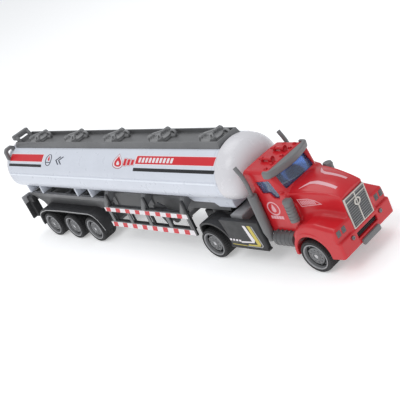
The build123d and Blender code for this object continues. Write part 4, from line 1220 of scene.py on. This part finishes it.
def tank_prints(side_name, sign):
    """Stripes, a plain drop sign, chevrons and bars; the same on both sides of the tank."""
    place = on_tank(sign)

    def lay(name, patches, ink, slot, **options):
        print_on(f"print_{name}_{side_name}", patches, place, ink, "trailer", slot, cell=2.4, **options)

    lay("edge_rear", [leaning(-241.6, -185.2, 33.6, 50.9, 1.3)], "pale_print", "white_plastic",
        thickness=0.03)
    lay("red_rear", [leaning(-240.6, -186.2, 34.8, 49.7, 1.1)], "red_print", "red_plastic")
    lay("black_rear", [leaning(-242.2, -187.4, 23.6, 29.2, 0.5)], "black_print", "black_plastic")
    lay("edge_front", [leaning(-55.6, 32.6, 34.9, 51.2, 1.0)], "pale_print", "white_plastic", thickness=0.03)
    lay("red_front", [leaning(-54.5, 32.0, 36.0, 50.2, 1.1)], "red_print", "red_plastic")
    lay("black_front", [leaning(-57.2, 32.4, 22.9, 28.9, 0.9)], "black_print", "black_plastic")
    # painted highlight: a thin pale strip along the waist rib on each side
    print_on(f"print_belt_highlight_{side_name}", [[(-243.4, 62.6), (32.4, 62.6), (32.4, 63.9), (-243.4, 63.9)]],
             on_side(sign, TANK_HALF_WIDTH + SEAM_STEP), "belt_highlight_ink", "trailer", "white_plastic",
             thickness=0.03, cell=500)
    bars = [leaning(-51.0 + 4.1 * n, -48.4 + 4.1 * n, 38.6, 47.2, 0.8) for n in range(10)]
    lay("bars", bars, "pale_print", "white_plastic", thickness=0.09)
    ring = stroke(oval((-176.0, 38.6), 4.1, 11.4, 0.10), 1.15, closed=True)
    lay("sign_ring", ring, "dark_print", "black_plastic")
    lay("sign_base", stroke([(-180.2, 34.0), (-173.0, 34.0)], 1.5), "dark_print", "black_plastic")
    lay("sign_drop", [wide_drop((-175.6, 42.2), 1.9, 5.2)], "red_print", "red_plastic")
    arrows = stroke([(-157.6, 46.0), (-164.0, 38.6), (-160.6, 30.0)], 1.7)
    arrows += stroke([(-153.4, 46.0), (-159.8, 38.6), (-156.4, 30.6)], 1.7)
    lay("chevrons", arrows, "dark_print", "black_plastic")
    lay("drop_edge", [wide_drop((-76.6, 40.2), 9.4, 14.2)], "dark_pink", "red_plastic", thickness=0.03)
    lay("drop_rim", [wide_drop((-76.4, 40.2), 8.4, 12.8)], "pale_print", "white_plastic", thickness=0.06)
    lay("drop", [wide_drop((-76.2, 39.6), 6.4, 9.8)], "red_print", "red_plastic", thickness=0.09)
    lay("drop_heart", [wide_drop((-76.2, 37.0), 2.6, 4.2)], "pale_print", "white_plastic", thickness=0.12)
    layers = (
        ("edge", 0.7, "dark_pink", 0.03), ("rim", 0.45, "pale_print", 0.06), ("red", 0.0, "red_print", 0.09),
    )
    for kind, grow, ink, thickness in layers:
        dashes = [leaning(-69.4 + 4.7 * n - grow, -66.2 + 4.7 * n + grow, 32.4 + 0.8 * n - 2 * grow,
                          44.6 - 0.8 * n + 2 * grow, 1.0) for n in range(3)]
        lay(f"dashes_{kind}", dashes, ink, "red_plastic", thickness=thickness)


def wide_drop(centre, half_u, half_v, count=30):
    """A plain drop, point up, with separate half-widths because v may be in degrees."""
    made = []
    for n in range(count):
        angle = 2 * math.pi * n / count
        bulge = math.sin(angle / 2) ** 1.4
        made.append((centre[0] + half_u * math.sin(angle) * bulge, centre[1] + half_v * math.cos(angle)))
    return made


def cab_prints():
    """Bonnet stripes, side vents and door signs."""
    from_above = cast(cab_skin, lambda u, v: np.stack([u, v, u * 0 + 60.0], 1), (0, 0, -1))
    stripes = [[(95.6, -5.5), (100.4, -3.7), (115.2, -4.4), (115.0, -6.4), (99.6, -6.6), (96.4, -7.4)],
               [(90.3, -12.3), (90.7, -11.5), (95.6, -5.5), (96.4, -7.4)]]
    for name, sign in (("right", 1), ("left", -1)):
        patches = [[(u, sign * v) for u, v in patch] for patch in stripes]
        print_on(f"print_bonnet_{name}", patches, from_above, "pink_print", "tractor", "white_plastic")
    for name, sign in SIDES:
        door = cast(cab_skin, lambda u, v, s=sign: np.stack([u, u * 0 + s * 32.0, v], 1), (0, -sign, 0))

        def lay(kind, patches, ink, slot):
            print_on(f"print_{kind}_{name}", patches, door, ink, "tractor", slot, cell=1.2)

        vent = [(90.0, 48.3), (97.6, 48.2), (101.8, 46.6), (105.0, 43.6), (91.2, 42.9)]
        lay("vent_edge", stroke(vent, 0.55, closed=True), "pink_print", "white_plastic")
        slats = [leaning(91.9 + 1.15 * n, 92.6 + 1.15 * n, 44.0, 47.4 - 0.10 * max(0, n - 4) ** 1.6, -0.5)
                 for n in range(9)]
        lay("vent_slats", slats, "pink_print", "white_plastic")
        ring = stroke(oval((69.2, 42.4), 5.0, 4.7, 0.0, 36), 0.9, closed=True)
        lay("door_ring", ring, "pink_print", "white_plastic")
        lay("door_drop", [wide_drop((69.2, 42.8), 2.5, 3.2)], "pink_print", "white_plastic")
        blocks = [leaning(63.9 + 2.3 * n, 65.9 + 2.3 * n, 34.6, 36.9, 0.0) for n in range(5)]
        lay("door_blocks", blocks, "pink_print", "white_plastic")


def on_side(sign, y):
    """Places (x, z) on an upright plane at a distance from the middle."""
    def place(u, v):
        return np.stack([u, u * 0 + sign * y, v], 1), np.stack([u * 0, u * 0 + sign, u * 0], 1)
    return place


def skirt_prints():
    for name, sign in SIDES:
        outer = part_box(f"side_skirt_{name}")
        y = max(abs(outer[0].y), abs(outer[1].y)) / MM - 0.2
        place = on_side(sign, y)

        def lay(kind, patches, ink):
            print_on(f"print_skirt_{kind}_{name}", patches, place, ink, "tractor", "black_plastic", cell=50)

        lay("white", [[(39.4, 31.4), (42.0, 31.5), (46.0, 20.0), (44.4, 17.8), (42.6, 18.8)]], "pale_print")
        lay("white_foot", [[(32.0, 18.2), (42.6, 18.8), (44.4, 17.8), (31.6, 17.0)]], "pale_print")
        lay("yellow", [[(43.8, 31.6), (46.8, 31.6), (50.4, 17.2), (48.8, 15.2), (46.8, 17.0)],
                       [(38.0, 16.2), (48.0, 16.4), (48.8, 15.2), (37.2, 15.2)]], "yellow_print")
        lay("silver", [[(47.6, 31.4), (48.6, 31.4), (52.2, 16.0), (50.4, 14.4), (36.0, 14.3), (36.2, 14.8),
                        (50.0, 14.9), (51.2, 16.2)]], "grey_print")
        dashes = [leaning(20.6 + 3.0 * n, 22.6 + 3.0 * n, 18.0 - 0.1 * n, 19.6 - 0.1 * n, 0.4)
                  for n in range(4)]
        lay("dashes", dashes, "pale_print")
        lay("line", [[(22.0, 15.4), (36.0, 15.0), (36.0, 14.5), (22.0, 14.9)]], "yellow_print")


def guard_prints():
    """White reflective boards with slanted red blocks along both side guards."""
    for name, sign in SIDES:
        place = on_side(sign, 26.4)
        for level, low, high in (("upper", 32.6, 36.4), ("lower", 18.4, 22.8)):
            board = [(-117.4, low), (-15.0, low), (-15.0, high), (-117.4, high)]
            print_on(f"print_board_{level}_{name}", [board], place, "pale_print", "trailer", "white_plastic",
                     cell=500, thickness=0.1)
            blocks = [leaning(-116.0 + 12.7 * n, -110.4 + 12.7 * n, low + 0.1, high - 0.1, 1.2)
                      for n in range(8)]
            print_on(f"print_blocks_{level}_{name}", blocks, place, "red_print", "trailer", "red_plastic",
                     cell=500, thickness=0.16)


def fender_prints():
    """The pale line round the outer edge of the trailer's fenders."""
    line = [(-232.4, 12.6), (-231.4, 19.4), (-228.6, 22.4), (-224.3, 24.4), (-215.3, 26.6), (-191.2, 27.6),
            (-147.9, 27.3), (-142.6, 25.7), (-138.6, 22.2), (-135.6, 17.2), (-133.8, 12.4)]
    for name, sign in SIDES:
        print_on(f"print_fender_{name}", stroke(line, 0.7), on_side(sign, 26.4), "grey_print", "trailer",
                 "grey_plastic", cell=500)


def make_prints():
    for name, sign in SIDES:
        tank_prints(name, sign)
    cab_prints()
    skirt_prints()
    guard_prints()
    fender_prints()


# ---------------------------------------------------------------- stage, light and camera


def make_floor():
    mesh = bpy.data.meshes.new("floor")
    reach = 6.0
    corners = [(-reach, -reach, 0), (reach, -reach, 0), (reach, reach, 0), (-reach, reach, 0)]
    mesh.from_pydata(corners, [], [(0, 1, 2, 3)])
    floor = to_scene("floor", mesh)
    card = plastic("floor_card", (0.90, 0.90, 0.90), 0.9, mottle=0.005, specular=0.1)
    shader = shader_of(card)
    shader.inputs["Emission Color"].default_value = (1, 1, 1, 1)
    shader.inputs["Emission Strength"].default_value = 0.35
    mesh.materials.append(card)


def area_light(name, place, target, size, power):
    lamp = bpy.data.lights.new(name, "AREA")
    lamp.shape = "DISK"
    lamp.size = size
    lamp.energy = power
    light = to_scene(name, lamp)
    light.location = place
    light.rotation_euler = (Vector(target) - Vector(place)).to_track_quat("-Z", "Y").to_euler()


def make_lights():
    world = bpy.data.worlds.new("studio")
    bpy.context.scene.world = world
    world.use_nodes = True
    background = world.node_tree.nodes["Background"]
    background.inputs["Color"].default_value = (0.93, 0.96, 1.0, 1)
    background.inputs["Strength"].default_value = 0.55
    area_light("key", (0.25, -0.75, 1.15), (0, 0, 0.03), 0.8, 4.6)
    area_light("top", (-0.35, 0.25, 1.25), (0, 0, 0.03), 1.0, 4.2)


def make_camera():
    camera = to_scene("camera", bpy.data.cameras.new("camera"))
    azimuth, elevation, roll = (math.radians(v) for v in (56.04, 22.92, -25.85))
    level = math.cos(elevation)
    back = Vector((math.sin(azimuth) * level, -math.cos(azimuth) * level, math.sin(elevation)))
    turn = (-back).to_track_quat("-Z", "Y").to_matrix().to_4x4() @ Matrix.Rotation(roll, 4, "Z")
    camera.matrix_world = Matrix.Translation((0.5445, -0.3441, 0.2908)) @ turn
    camera.data.lens = 82.09
    camera.data.sensor_width = 36
    camera.data.clip_start = 0.01
    bpy.context.scene.camera = camera


dress_nodes()
make_cab()
make_wheels()
make_tank()
make_hatches()
make_visor()
make_grille()
make_badge()
make_front()
make_roof_pieces()
make_tail()
make_fuel_tanks()
make_guard_shadow_strips()
make_fender_flaps()
make_prints()
make_floor()
make_lights()
make_camera()
bpy.context.scene.view_settings.view_transform = "Standard"
